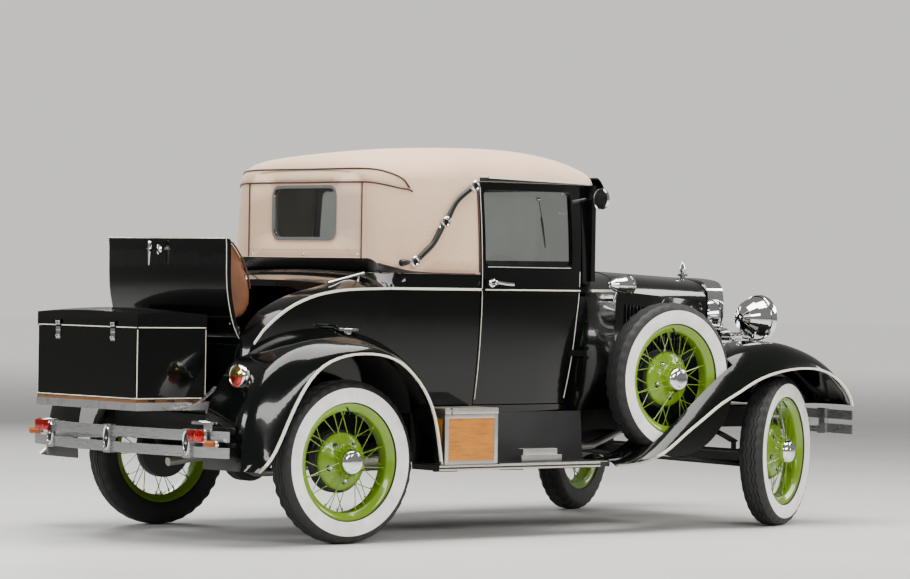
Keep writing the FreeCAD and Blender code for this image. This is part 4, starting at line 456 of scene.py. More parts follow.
class Wear(Enum):
    """The finishes of the car, by the name of their slot."""

    black_paint = Enamel("black_enamel", (0.0016, 0.0024, 0.002), 0.12, gloss=0.16, coat_index=1.31)
    green_paint = Enamel("green_enamel", (0.165, 0.295, 0.009), 0.22, 0.8)
    chassis_paint = Enamel("frame_enamel", (0.005, 0.005, 0.005), 0.34, 0.4, 0.18)
    tan_fabric = Canvas("top_canvas", (0.7, 0.485, 0.33), 230.0, bordered=True)
    brown_leather = Hide("seat_hide", (0.135, 0.046, 0.013))
    chrome = Plating("chrome_plate", (0.86, 0.87, 0.88), 0.055)
    steel = Plating("bare_steel", (0.34, 0.32, 0.3), 0.42, (1.0, 1.0, 6.0), 0.1)
    bumper_plate = Plating("bumper_metal", (0.47, 0.475, 0.48), 0.27, (1.0, 1.0, 22.0), 0.08)
    dark_steel = Enamel("axle_enamel", (0.014, 0.014, 0.014), 0.45, 0.2, 0.2)
    glass = Pane("window_glass", (0.93, 0.96, 0.94))
    tyre_rubber = Rubber("tyre_black", (0.0075, 0.0075, 0.008))
    board_rubber = Rubber("board_black", (0.012, 0.012, 0.013), 0.5)
    wood = Timber("honey_wood", (0.62, 0.225, 0.016), (0.3, 0.085, 0.007))
    core_black = Enamel("core_enamel", (0.006, 0.006, 0.006), 0.5, 0.1, 0.2)
    # the cream bead colour is partly pinstripe and partly a painted highlight
    bright_trim = EdgeTrim("edge_trim_stripe_and_highlight", (0.82, 0.79, 0.68))


class Extra(Enum):
    """Finishes of the fine parts that the solids leave to this file."""

    white_wall = Rubber("white_wall", (0.9, 0.88, 0.8), 0.5)
    piping = Hide("brown_piping", (0.05, 0.013, 0.007))
    frame_plating = SplitPlating("frame_plating", (0.86, 0.87, 0.88), "X", 0.2, False)
    rack_plating = SplitPlating("rack_plating", (0.56, 0.56, 0.56), "Z", 0.545, True, 0.26)
    slat_wood = Timber("slat_wood", (0.24, 0.085, 0.018), (0.05, 0.018, 0.008))
    iron_black = Enamel("iron_black", (0.003, 0.003, 0.003), 0.4, 0.25)
    headlining = Canvas("headlining", (0.3, 0.25, 0.19), 220.0)
    # cream piping and lines; on the door belts and the rumble lid's top edge this cream is also a painted highlight
    cream_line = Enamel("cream_line", (0.8, 0.76, 0.64), 0.3, 0.6)
    lamp_glass = Pane("lamp_glass", (0.95, 0.97, 0.97), 0.02)
    red_glass = Pane("red_glass", (0.62, 0.012, 0.006), 0.05, 0.12)
    amber_glass = Pane("amber_glass", (0.85, 0.2, 0.01), 0.05, 0.12)
    olive_glass = Pane("olive_glass", (0.45, 0.36, 0.06), 0.06, 0.08)
    mirror_silver = Plating("mirror_silver", (0.93, 0.94, 0.95), 0.02)
    dial = Enamel("dial_face", (0.62, 0.6, 0.52), 0.4, 0.5)
    alloy = Plating("box_alloy", (0.62, 0.61, 0.58), 0.36, (8.0, 1.0, 1.0), 0.05)


Finish = Wear | Extra


class Palette:
    """Builds each finish once and hands it out."""

    def __init__(self) -> None:
        """Starts with nothing built."""
        self.built: dict[str, bpy.types.Material] = {}

    def __call__(self, finish: Finish) -> bpy.types.Material:
        """The material of a finish."""
        if finish.name not in self.built:
            self.built[finish.name] = finish.value.build()
        return self.built[finish.name]


PALETTE = Palette()


# ---------------------------------------------------------------- shapes


def linked(name: str, data: bpy.types.ID) -> bpy.types.Object:
    """A new object in the scene."""
    made = bpy.data.objects.new(name, data)
    bpy.context.scene.collection.objects.link(made)
    return made


def merged(node: str) -> bmesh.types.BMesh:
    """A copy of a node's mesh with its doubles merged."""
    made = bmesh.new()
    made.from_mesh(frame["nodes"][node].data)
    bmesh.ops.remove_doubles(made, verts=made.verts, dist=2e-5)
    return made


def mesh_of(name: str, made: bmesh.types.BMesh) -> bpy.types.Mesh:
    """A mesh of what was made, which is freed."""
    mesh = bpy.data.meshes.new(name)
    made.to_mesh(mesh)
    made.free()
    return mesh


def dress(mesh: bpy.types.Mesh, finish: Finish) -> None:
    """Gives a mesh one finish and smooth faces."""
    mesh.materials.clear()
    mesh.materials.append(PALETTE(finish))
    mesh.polygons.foreach_set("material_index", [0] * len(mesh.polygons))
    mesh.polygons.foreach_set("use_smooth", [True] * len(mesh.polygons))


def carry(piece: bpy.types.Object, body: str, slot: str, *nodes: str) -> None:
    """Lets a finished piece ride on its body.

    Args:
        piece: the piece.
        body: the body that it rides on.
        slot: the record's material slot, not used.
        nodes: the nodes that it stands for.
    """
    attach(piece, body)
    if nodes:
        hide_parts(*nodes)
    LOG.info("%s: %d faces on %s", piece.name, len(piece.data.polygons), body)


def band(rows: int, across: int, around: bool = True, closed: bool = True) -> list[Face]:
    """Faces between rows of points.

    Args:
        rows: how many rows there are.
        across: points in each row.
        around: whether the last row meets the first.
        closed: whether a row's last point meets its first.

    Returns:
        The faces, row by row.
    """
    faces = []
    for i in range(rows if around else rows - 1):
        j = (i + 1) % rows
        for k in range(across if closed else across - 1):
            m = (k + 1) % across
            faces.append((i * across + k, i * across + m, j * across + m, j * across + k))
    return faces


@dataclass
class Shape:
    """A growing mesh of several finishes, kept in the car's frame."""

    points: list[Vector] = field(default_factory=list)
    faces: list[Face] = field(default_factory=list)
    marks: list[int] = field(default_factory=list)
    finishes: list[Finish] = field(default_factory=list)

    def cover(self, faces: Iterable[Sequence[int]], finish: Finish, start: int = 0) -> None:
        """Adds faces over points that are there already.

        Args:
            faces: the faces, as indices counted from a start.
            finish: their finish.
            start: the point that index 0 means.
        """
        if finish not in self.finishes:
            self.finishes.append(finish)
        for face in faces:
            self.faces.append(tuple(start + i for i in face))
            self.marks.append(self.finishes.index(finish))

    def add(self, points: Iterable[Vector], faces: Iterable[Sequence[int]], finish: Finish,
            place: Matrix | None = None) -> None:
        """Adds loose points and faces.

        Args:
            points: the points.
            faces: faces as indices of those points.
            finish: the finish of all the faces.
            place: where they go, if not in place already.
        """
        start = len(self.points)
        turn = place or Matrix.Identity(4)
        self.points.extend(turn @ Vector(p) for p in points)
        self.cover(faces, finish, start)

    def lathe(self, profile: Profile, finish: Finish, place: Matrix, steps: int = 48,
              closed: bool = False) -> None:
        """Turns a profile about the local Y axis.

        Args:
            profile: places as (along the axis, radius).
            finish: its finish.
            place: the frame of the axis.
            steps: points round the axis.
            closed: whether the last point joins the first.
        """
        points = []
        for i in range(steps):
            angle = TURN * i / steps
            points.extend(Vector((r * math.sin(angle), a, r * math.cos(angle))) for a, r in profile)
        self.add(points, band(steps, len(profile), closed=closed), finish, place)

    def tube(self, path: Sequence[Vector], radius: float, finish: Finish, sides: int = 8,
             closed: bool = False) -> None:
        """A round bar along a path.

        Args:
            path: the points of its middle line.
            radius: its radius.
            finish: its finish.
            sides: points round the bar.
            closed: whether the path is a loop.
        """
        path = [Vector(p) for p in path]
        count = len(path)
        points: list[Vector] = []
        normal = Vector((0.31, 0.17, 0.93))
        for i, p in enumerate(path):
            before = path[(i - 1) % count] if closed or i else p
            after = path[(i + 1) % count] if closed or i < count - 1 else p
            along = (after - before).normalized()
            normal = (normal - along * normal.dot(along)).normalized()
            side = along.cross(normal)
            for k in range(sides):
                angle = TURN * k / sides
                points.append(p + normal * radius * math.cos(angle) + side * radius * math.sin(angle))
        faces = band(count, sides, around=closed)
        if not closed:
            faces.append(tuple(range(sides))[::-1])
            faces.append(tuple((count - 1) * sides + k for k in range(sides)))
        self.add(points, faces, finish)

    def slab(self, size: Point, finish: Finish, place: Matrix, round_off: float = 0.001) -> None:
        """A plate or block with its corners rounded in plan.

        Args:
            size: its size along X, Y and Z.
            finish: its finish.
            place: the frame of its middle.
            round_off: how far the edges are taken off.
        """
        made = bmesh.new()
        bmesh.ops.create_cube(made, size=1.0)
        bmesh.ops.scale(made, vec=size, verts=made.verts)
        bmesh.ops.bevel(made, geom=made.edges, offset=min(round_off, min(size) * 0.45), segments=2, affect="EDGES",
                        profile=0.6)
        made.verts.index_update()
        self.add([v.co.copy() for v in made.verts], [[v.index for v in f.verts] for f in made.faces], finish, place)
        made.free()

    def copy_of(self, mesh: bpy.types.Mesh, finish: Finish, place: Matrix | None = None) -> None:
        """Adds another mesh's faces, moved to their place."""
        self.add([v.co.copy() for v in mesh.vertices], [tuple(p.vertices) for p in mesh.polygons], finish, place)

    def grow(self, tree: Tree, finish: Finish, place: Matrix | None = None, **values: object) -> None:
        """Adds what a tree makes of its inputs, in one finish."""
        self.copy_of(Repeat.grown(tree, Finish=PALETTE(finish), **values), finish, place)

    def piece(self, name: str, body: str, slot: str, replaces: Sequence[str] = (),
              crease: float = 32.0, weld: float = 1e-6) -> bpy.types.Object:
        """Makes the object, with welded points and outward faces, and lets it ride on its body.

        Args:
            name: the piece's name.
            body: the body that it rides on.
            slot: the record's material slot.
            replaces: the nodes that it stands for.
            crease: the angle past which an edge is sharp, in degrees.
            weld: how near two points are one.

        Returns:
            The object.
        """
        mesh = bpy.data.meshes.new(name)
        mesh.from_pydata([tuple(p) for p in self.points], [], self.faces)
        for finish in self.finishes:
            mesh.materials.append(PALETTE(finish))
        mesh.polygons.foreach_set("material_index", self.marks)
        made = bmesh.new()
        made.from_mesh(mesh)
        bmesh.ops.remove_doubles(made, verts=made.verts, dist=weld)
        bmesh.ops.recalc_face_normals(made, faces=made.faces)
        made.to_mesh(mesh)
        made.free()
        mesh.polygons.foreach_set("use_smooth", [True] * len(mesh.polygons))
        mesh.set_sharp_from_angle(angle=math.radians(crease))
        piece = linked(name, mesh)
        carry(piece, body, slot, *replaces)
        return piece


def axis_frame(origin: Vector, along: Vector, up: Vector = UP) -> Matrix:
    """A frame whose Y axis points along a direction.

    Args:
        origin: its origin.
        along: where its Y axis points.
        up: roughly where its Z axis points.

    Returns:
        The frame.
    """
    y = along.normalized()
    x = y.cross(up).normalized()
    z = x.cross(y)
    return Matrix.Translation(origin) @ Matrix((x, y, z)).transposed().to_4x4()


def curve_through(points: Sequence[Vector], steps: int) -> list[Vector]:
    """A smooth run of points through a few.

    Args:
        points: the points that it passes.
        steps: points between each two of them.

    Returns:
        The run.
    """
    ends = [points[0] * 2 - points[1], *points, points[-1] * 2 - points[-2]]
    run = []
    for a, b, c, d in zip(ends, ends[1:], ends[2:], ends[3:]):
        for i in range(steps):
            t = i / steps
            run.append(0.5 * ((b * 2) + (c - a) * t + (a * 2 - b * 5 + c * 4 - d) * t**2
                              + (b * 3 - a - c * 3 + d) * t**3))
    run.append(points[-1].copy())
    return run


class Skin:
    """A node's surface, to lay piping and small parts on."""

    def __init__(self, *nodes: str) -> None:
        """Gathers the nodes' triangles.

        Args:
            nodes: the nodes.
        """
        points: list[Vector] = []
        faces: list[Face] = []
        for node in nodes:
            mesh = frame["nodes"][node].data
            start = len(points)
            points.extend(v.co.copy() for v in mesh.vertices)
            faces.extend(tuple(start + i for i in p.vertices) for p in mesh.polygons)
        self.tree = BVHTree.FromPolygons(points, faces)

    def hit(self, origin: Vector, way: Vector) -> tuple[Vector, Vector]:
        """The first point that a ray meets and the normal there.

        Args:
            origin: where the ray starts.
            way: its direction.

        Returns:
            The point and the normal, which faces the ray.
        """
        place, normal, _, _ = self.tree.ray_cast(origin, way.normalized())
        if place is None:
            place, normal, _, _ = self.tree.find_nearest(origin)
        return place, (normal if normal.dot(way) < 0 else -normal)

    def beside(self, x: float, z: float, side: int) -> tuple[Vector, Vector]:
        """The outermost point of one side and the normal there, at a place given as for at()."""
        return self.hit(at(x, side * 900, z), Vector((0, -side, 0)))

    def lay(self, points: Sequence[Vector], steps: int, lift: float, centre: Vector) -> list[Vector]:
        """A smooth run through a few points, laid on the outside of the surface.

        Args:
            points: points near the surface.
            steps: points between each two.
            lift: how far the run stands off.
            centre: a point well inside.

        Returns:
            The run on the surface.
        """
        run = []
        for p in curve_through(points, steps):
            out = (p - centre).normalized()
            place, normal = self.hit(p + out * 0.3, -out)
            run.append(place + normal * lift)
        return run


# ---------------------------------------------------------------- repeats


class Repeat:
    """Geometry node trees for what repeats: wire spokes, ribs and stitches."""

    @staticmethod
    def tree(name: str, inputs: dict[str, str], nodes: dict[str, str]) -> tuple[Tree, dict[str, bpy.types.Node]]:
        """Starts a tree.

        Args:
            name: the tree's name.
            inputs: each input's name and socket kind, past the geometry and the finish.
            nodes: each node's short name and its type.

        Returns:
            The tree and its nodes by their short names.
        """
        tree = bpy.data.node_groups.new(name, "GeometryNodeTree")
        for label, kind in {"Geometry": "Geometry", **inputs, "Finish": "Material"}.items():
            tree.interface.new_socket(name=label, in_out="INPUT", socket_type="NodeSocket" + kind)
        tree.interface.new_socket(name="Geometry", in_out="OUTPUT", socket_type="NodeSocketGeometry")
        nodes = {"given": "NodeGroupInput", "out": "NodeGroupOutput", "place": "GeometryNodeInstanceOnPoints", **nodes,
                 "real": "GeometryNodeRealizeInstances", "paint": "GeometryNodeSetMaterial"}
        return tree, {label: tree.nodes.new(kind) for label, kind in nodes.items()}

    @staticmethod
    def wire(tree: Tree, nodes: dict[str, bpy.types.Node], *links: tuple[str, str | int, str, str | int]) -> Tree:
        """Links a tree's nodes, then realizes its instances and gives them the finish.

        Args:
            tree: the tree.
            nodes: its nodes by their short names.
            links: each link: a node and its output, and a node and its input.

        Returns:
            The tree.
        """
        ends = (("place", "Instances", "real", 0), ("real", 0, "paint", "Geometry"),
                ("given", "Finish", "paint", "Material"), ("paint", 0, "out", 0))
        for source, output, target, socket in (*links, *ends):
            tree.links.new(nodes[source].outputs[output], nodes[target].inputs[socket])
        return tree

    @classmethod
    def ring(cls) -> Tree:
        """A ring of straight wires about the Y axis."""
        tree, nodes = cls.tree(
            "wire_ring", {"Count": "Int", "Start": "Vector", "End": "Vector", "Thickness": "Float", "First": "Float"},
            {"line": "GeometryNodeCurvePrimitiveLine", "circle": "GeometryNodeCurvePrimitiveCircle",
             "sweep": "GeometryNodeCurveToMesh", "spots": "GeometryNodePoints", "index": "GeometryNodeInputIndex",
             "step": "ShaderNodeMath", "turn": "ShaderNodeMath", "add": "ShaderNodeMath",
             "spin": "FunctionNodeAxisAngleToRotation"})
        nodes["circle"].inputs["Resolution"].default_value = 6
        nodes["sweep"].inputs["Fill Caps"].default_value = True
        for label, kind in (("step", "DIVIDE"), ("turn", "MULTIPLY"), ("add", "ADD")):
            nodes[label].operation = kind
        nodes["step"].inputs[0].default_value = TURN
        nodes["spin"].inputs["Axis"].default_value = (0.0, 1.0, 0.0)
        return cls.wire(
            tree, nodes, ("given", "Start", "line", "Start"), ("given", "End", "line", "End"),
            ("given", "Thickness", "circle", "Radius"), ("line", "Curve", "sweep", "Curve"),
            ("circle", "Curve", "sweep", "Profile Curve"), ("given", "Count", "spots", "Count"),
            ("given", "Count", "step", 1), ("index", "Index", "turn", 0), ("step", 0, "turn", 1), ("turn", 0, "add", 0),
            ("given", "First", "add", 1), ("add", 0, "spin", "Angle"), ("spots", 0, "place", "Points"),
            ("sweep", "Mesh", "place", "Instance"), ("spin", "Rotation", "place", "Rotation"))

    @classmethod
    def row(cls) -> Tree:
        """A row of equal bars."""
        tree, nodes = cls.tree("bar_row", {"Count": "Int", "Start": "Vector", "Step": "Vector", "Size": "Vector"},
                               {"line": "GeometryNodeMeshLine", "bar": "GeometryNodeMeshCube"})
        return cls.wire(
            tree, nodes, ("given", "Count", "line", "Count"), ("given", "Start", "line", "Start Location"),
            ("given", "Step", "line", "Offset"), ("given", "Size", "bar", "Size"), ("line", "Mesh", "place", "Points"),
            ("bar", "Mesh", "place", "Instance"))

    @classmethod
    def stitches(cls) -> Tree:
        """Short threads along the lines of the mesh."""
        tree, nodes = cls.tree("stitch_line", {"Pitch": "Float", "Size": "Vector"},
                               {"curve": "GeometryNodeMeshToCurve", "spots": "GeometryNodeCurveToPoints",
                                "thread": "GeometryNodeMeshCube"})
        nodes["spots"].mode = "LENGTH"
        return cls.wire(
            tree, nodes, ("given", "Geometry", "curve", "Mesh"), ("curve", "Curve", "spots", "Curve"),
            ("given", "Pitch", "spots", "Length"), ("given", "Size", "thread", "Size"),
            ("spots", "Points", "place", "Points"), ("spots", "Rotation", "place", "Rotation"),
            ("thread", "Mesh", "place", "Instance"))

    @staticmethod
    def grown(tree: Tree, seed: bpy.types.Mesh | None = None, **values: object) -> bpy.types.Mesh:
        """Runs a tree and returns its mesh.

        Args:
            tree: the tree.
            seed: the mesh that it starts from, or none.
            values: its inputs by name.

        Returns:
            The finished mesh.
        """
        carrier = linked("carrier", seed or line_mesh([]))
        modifier = carrier.modifiers.new("grow", "NODES")
        modifier.node_group = tree
        for socket in tree.interface.items_tree:
            if socket.item_type == "SOCKET" and socket.in_out == "INPUT" and socket.name in values:
                modifier[socket.identifier] = values[socket.name]
        graph = bpy.context.evaluated_depsgraph_get()
        made = bpy.data.meshes.new_from_object(carrier.evaluated_get(graph), depsgraph=graph)
        carrier.modifiers.remove(modifier)
        bpy.data.objects.remove(carrier)
        return made


def line_mesh(runs: Sequence[Sequence[Vector]]) -> bpy.types.Mesh:
    """A mesh of bare edges along some runs of points."""
    points = [tuple(p) for run in runs for p in run]
    edges, start = [], 0
    for run in runs:
        edges.extend((start + i, start + i + 1) for i in range(len(run) - 1))
        start += len(run)
    mesh = bpy.data.meshes.new("runs")
    mesh.from_pydata(points, edges, [])
    return mesh


# ---------------------------------------------------------------- sub-assemblies


@dataclass
class WheelPlace:
    """Where one road or spare wheel sits and which way its outer face looks."""

    body: str
    label: str
    centre: Point
    out: Point
    tyre_node: str
    wheel_node: str

    def frame(self) -> Matrix:
        """The frame with Y outward."""
        return axis_frame(Vector(self.centre), Vector(self.out))


@dataclass
class Wheels:
    """The wire wheels with their whitewall tyres, four on the road and two in the front wings."""

    steps: int = 150
    tread: Sequence[tuple[float, float, float]] = (
        (0.0, 0.3618, 0.0), (0.0085, 0.3617, 0.0), (0.01, 0.3565, 1.0), (0.0135, 0.3565, 1.0),
        (0.015, 0.3613, 0.0), (0.0255, 0.3605, 0.0), (0.027, 0.3555, 1.0), (0.031, 0.3552, 1.0),
        (0.0325, 0.3597, 0.0), (0.043, 0.3568, 0.0), (0.05, 0.3515, 0.0), (0.0555, 0.343, 0.0))
    shoulder: Profile = ((0.0588, 0.3325), (0.06, 0.329))
    wall: Profile = ((0.0603, 0.3265), (0.0603, 0.312), (0.0598, 0.297), (0.0582, 0.281),
                                           (0.0556, 0.2685), (0.0538, 0.2635))
    bead: Profile = ((0.0515, 0.2622), (0.048, 0.2595), (0.0438, 0.258), (0.04, 0.25))
    rim: Profile = (
        (0.0443, 0.258), (0.0452, 0.2589), (0.0466, 0.2588), (0.0474, 0.2575), (0.047, 0.2545), (0.0452, 0.248),
        (0.042, 0.2425), (0.038, 0.2375), (0.033, 0.23), (0.0285, 0.2245), (0.024, 0.2228), (0.01, 0.2226))
    seat: Profile = ((0.0416, 0.2496), (0.03, 0.242), (0.018, 0.2285))
    hub: Profile = (
        (-0.018, 0.0), (-0.018, 0.1285), (-0.015, 0.1295), (-0.009, 0.129), (-0.005, 0.127), (0.001, 0.119),
        (0.006, 0.106), (0.0105, 0.092), (0.015, 0.08), (0.0215, 0.071), (0.03, 0.064), (0.042, 0.0605),
        (0.054, 0.0585), (0.06, 0.056), (0.06, 0.0))
    drum: Profile = (
        (-0.066, 0.0), (-0.066, 0.134), (-0.064, 0.1395), (-0.056, 0.14), (-0.0545, 0.137), (-0.049, 0.137),
        (-0.0475, 0.14), (-0.026, 0.14), (-0.022, 0.137), (-0.02, 0.129), (-0.02, 0.0))
    cap: Profile = (
        (0.0595, 0.0), (0.0595, 0.0572), (0.062, 0.0584), (0.065, 0.0572), (0.07, 0.056), (0.079, 0.0525),
        (0.085, 0.046), (0.0872, 0.0405), (0.0874, 0.037), (0.0892, 0.0352), (0.091, 0.034), (0.0925, 0.029),
        (0.0934, 0.018), (0.0937, 0.0))
    sway: float = 0.0036
    sway_from: float = 0.007
    sway_to: float = 0.034
    lug_depth: float = 0.0065
    lug_from: float = 0.042
    lug_to: float = 0.0575
    lug_radius: float = 0.34
    nut: Profile = ((0.0115, 0.0), (0.0115, 0.01), (0.0165, 0.0102), (0.0175, 0.009), (0.024, 0.0088),
                    (0.0262, 0.0066), (0.0262, 0.0))
    washer: Profile = ((0.011, 0.0), (0.011, 0.015), (0.0128, 0.015), (0.013, 0.0))
    nut_ring: float = 0.084
    nuts: int = 5
    spokes: int = 30
    wire: float = 0.0022
    lean: float = math.radians(15)
    spoke_reach: float = 0.2235
    nipple: float = 0.016

    def places(self) -> list[WheelPlace]:
        """The six wheels."""
        ahead, aside = 0.422618, 0.906308
        road = {"front_left": ((1.426697, 0.702287, 0.362), (-ahead, aside, 0)),
                "front_right": ((1.505303, -0.702287, 0.362), (ahead, -aside, 0)),
                "rear_left": ((-1.163, 0.711, 0.362), (0, 1, 0)),
                "rear_right": ((-1.163, -0.711, 0.362), (0, -1, 0))}
        return [*(WheelPlace(f"wheel_{label}", label, *spot, f"tyre_{label}", f"wheel_{label}")
                  for label, spot in road.items()),
                *(WheelPlace("car", label, (0.78, side * 0.712, 0.715), (0, side, 0), "spare_tyres", "spare_wheels")
                  for label, side in (("spare_left", 1), ("spare_right", -1)))]

    def tyre(self, place: Matrix) -> Shape:
        """A tyre with zigzag ribs, shoulder lugs and a white outer wall.

        Args:
            place: its frame.

        Returns:
            The tyre.
        """
        half = [*self.tread, *((a, r, 0.0) for a, r in (*self.shoulder, *self.wall, *self.bead))]
        ring = half + [(-a, r, z) for a, r, z in half[:0:-1]]
        first_white = len(self.tread) + len(self.shoulder)
        white = range(first_white, first_white + len(self.wall) - 1)
        points = []
        for i in range(self.steps):
            angle = TURN * i / self.steps
            first_half = i % 4 < 2
            for a, r, zig in ring:
                lug = first_half and self.lug_from < abs(a) < self.lug_to and r > self.lug_radius
                swayed = zig or self.sway_from < abs(a) < self.sway_to
                across = a + ((self.sway if first_half else -self.sway) if swayed else 0.0)
                reach = r - (self.lug_depth if lug else 0.0)
                points.append(Vector((reach * math.sin(angle), across, reach * math.cos(angle))))
        shape = Shape()
        faces = band(self.steps, len(ring))
        shape.add(points, [f for f in faces if f[0] % len(ring) not in white], Wear.tyre_rubber, place)
        shape.cover([f for f in faces if f[0] % len(ring) in white], Extra.white_wall)
        return shape

    def wheel(self, place: Matrix, ring: Tree) -> Shape:
        """A wheel: rim, hub with nuts, drum, cap and laced spokes.

        Args:
            place: its frame.
            ring: the tree that makes a ring of wires.

        Returns:
            The wheel.
        """
        shape = Shape()
        rim = list(self.rim) + [(-a, r) for a, r in self.rim[::-1]]
        rim += [(-a, r) for a, r in self.seat] + [(a, r) for a, r in self.seat[::-1]]
        shape.lathe(rim, Wear.green_paint, place, 72, closed=True)
        shape.lathe(self.hub, Wear.green_paint, place, 48)
        shape.lathe(self.drum, Wear.dark_steel, place, 48)
        shape.lathe(self.cap, Wear.chrome, place, 40)
        for i in range(self.nuts):
            angle = TURN * (i + 0.5) / self.nuts
            spot = Matrix.Translation((self.nut_ring * math.sin(angle), 0.0, self.nut_ring * math.cos(angle)))
            shape.lathe(self.nut, Wear.chrome, place @ spot, 6)
            shape.lathe(self.washer, Wear.core_black, place @ spot, 20)
        outer, inner = (0.05, 0.059), (-0.012, 0.1235)
        for (a0, r0), a1, first in ((outer, 0.014, 0), (outer, 0.014, 1), (inner, -0.012, 2), (inner, -0.012, 3)):
            swing = self.lean if first % 2 else -self.lean
            shared = {"Count": self.spokes // 4 + first % 2, "First": TURN * (first + 0.4) / self.spokes,
                      "End": (0.0, a1, self.spoke_reach)}
            for start, thick in (((r0 * math.sin(swing), a0, r0 * math.cos(swing)), self.wire),
                                 ((0.0, a1, self.spoke_reach - self.nipple), self.wire * 1.9)):
                shape.grow(ring, Wear.green_paint, place, Start=start, Thickness=thick, **shared)
        stem = curve_through([Vector((0.01, a, r)) for a, r in ((0.036, 0.243), (0.05, 0.228), (0.062, 0.212))], 4)
        shape.tube([place @ p for p in stem], 0.0038, Wear.tyre_rubber, 8)
        return shape

    def build(self, ring: Tree) -> None:
        """Builds all tyres and wheels.

        Args:
            ring: the tree that makes a ring of wires.
        """
        for spot in self.places():
            place = spot.frame()
            self.tyre(place).piece(f"whitewall_tyre_{spot.label}", spot.body, "tyre_rubber", [spot.tyre_node], 30)
            self.wheel(place, ring).piece(f"wire_wheel_{spot.label}", spot.body, "green_paint", [spot.wheel_node], 36)


@dataclass
class FabricTop:
    """The fixed top: its outer canvas, headlining, piping and fasteners."""

    node: str = "fabric_top"
    cloth: float = 0.0022
    piping: float = 0.0042
    lift: float = 0.0015
    centre: Vector = field(default_factory=lambda: at(900, 0, 1400))
    flat: tuple[float, float] = (2.3, 2.9)
    upper_seam: Sequence[Point] = ((308, 0, 1668), (308, -250, 1670), (309, -440, 1672), (330, -560, 1664),
                                   (385, -618, 1632), (424, -626, 1588))
    lower_seam: Sequence[Point] = ((308, 0, 1606), (308, -250, 1607), (309, -440, 1606), (325, -555, 1600),
                                   (375, -615, 1586), (415, -625, 1580), (440, -628, 1570))
    hem_side: Sequence[Point] = ((318, -540, 1240), (360, -600, 1222), (438, -625, 1208), (560, -633, 1201),
                                 (700, -638, 1199), (800, -640, 1199))
    rear_seam_y: float = 428.0
    fastener: Profile = ((-0.0005, 0.0), (-0.0005, 0.0072), (0.0012, 0.007), (0.0026, 0.0052), (0.003, 0.003),
                         (0.0046, 0.0026), (0.0052, 0.0))
    stitch: Point = (0.0009, 0.0009, 0.0042)
    stitch_pitch: float = 0.0065

    def skin_of(self, outside: bool) -> bpy.types.Mesh:
        """The merged outer or inner faces of the node.

        Args:
            outside: whether the outer faces are wanted.

        Returns:
            A mesh of those faces.
        """
        made = merged(self.node)
        made.normal_update()
        bad = []
        for face in made.faces:
            middle = face.calc_center_median()
            spine = Vector((max(-0.55, min(0.1, middle.x)), middle.y * 0.2, min(middle.z, 1.45)))
            if (face.normal.dot(middle - spine) > 0) != outside:
                bad.append(face)
        bmesh.ops.delete(made, geom=bad, context="FACES")
        return mesh_of("top_skin", made)

    def sheet(self, name: str, outside: bool, finish: Finish) -> bpy.types.Object:
        """One cloth layer of the top.

        Args:
            name: the piece's name.
            outside: whether it is the outer canvas.
            finish: its finish.

        Returns:
            The piece.
        """
        mesh = self.skin_of(outside)
        dress(mesh, finish)
        mesh.set_sharp_from_angle(angle=math.radians(40))
        piece = linked(name, mesh)
        thick = piece.modifiers.new("cloth", "SOLIDIFY")
        thick.thickness, thick.offset = self.cloth, -1.0
        carry(piece, "car", "tan_fabric", self.node)
        return piece

    def build(self, stitches: Tree) -> None:
        """Builds the canvas, its lining and everything sewn to it.

        Args:
            stitches: the tree that lays threads along lines.
        """
        skin = Skin(self.node)
        trims = Shape()
        threads: list[list[Vector]] = []

        def laid(points: Sequence[Point]) -> list[Vector]:
            """A smooth run on the cloth through points given as for at()."""
            return skin.lay([at(*p) for p in points], 8, self.lift, self.centre)

        for rows in (self.upper_seam, self.lower_seam):
            right = laid(rows)
            left = laid([(x, -y, z) for x, y, z in rows])
            trims.tube(left[::-1] + right[1:], self.piping, Extra.piping, 8)
        for side in (-1, 1):
            seam = laid([(308, side * self.rear_seam_y, z) for z in (1604, 1500, 1400, 1300, 1262)])
            trims.tube(seam, self.piping * 0.9, Extra.piping, 8)
            threads.append([p + Vector((-0.0012, -side * 0.011, 0)) for p in seam])
            hem = laid([(x, -side * y, z) for x, y, z in self.hem_side])
            trims.tube([p + Vector((0, 0, -0.001)) for p in hem], self.piping * 0.8, Extra.piping, 8)
            threads.append([p + Vector((0, 0, 0.012)) for p in hem])
            post = laid([(826, side * 640, z) for z in (1205, 1300, 1400, 1500, 1600)])
            trims.tube(post, self.piping, Extra.piping, 8)
            for rows in (self.upper_seam, self.lower_seam):
                run = laid([(x, side * -y, z) for x, y, z in rows])
                threads.append([p + Vector((0, 0, 0.0105 if rows is self.lower_seam else -0.0105)) for p in run])
        hem = laid([(308, y, 1262) for y in (-428, -210, 0, 210, 428)])
        trims.tube(hem, self.piping * 0.6, Wear.tan_fabric, 8)
        threads.append([p + Vector((-0.0012, 0, 0.036)) for p in hem])
        for y in (-400, 5, 405):
            spot, normal = skin.hit(at(200, y, 1274), AHEAD)
            trims.lathe(self.fastener, Wear.chrome, axis_frame(spot, normal), 16)
        trims.piece("top_piping", "car", "tan_fabric", crease=50)
        sewn = Shape()
        sewn.grow(stitches, Extra.piping, seed=line_mesh(threads), Pitch=self.stitch_pitch, Size=self.stitch)
        sewn.piece("top_stitches", "car", "tan_fabric", weld=1e-7)
        lining = self.sheet("top_headlining", False, Extra.headlining)
        canvas = self.sheet("top_canvas", True, Wear.tan_fabric)


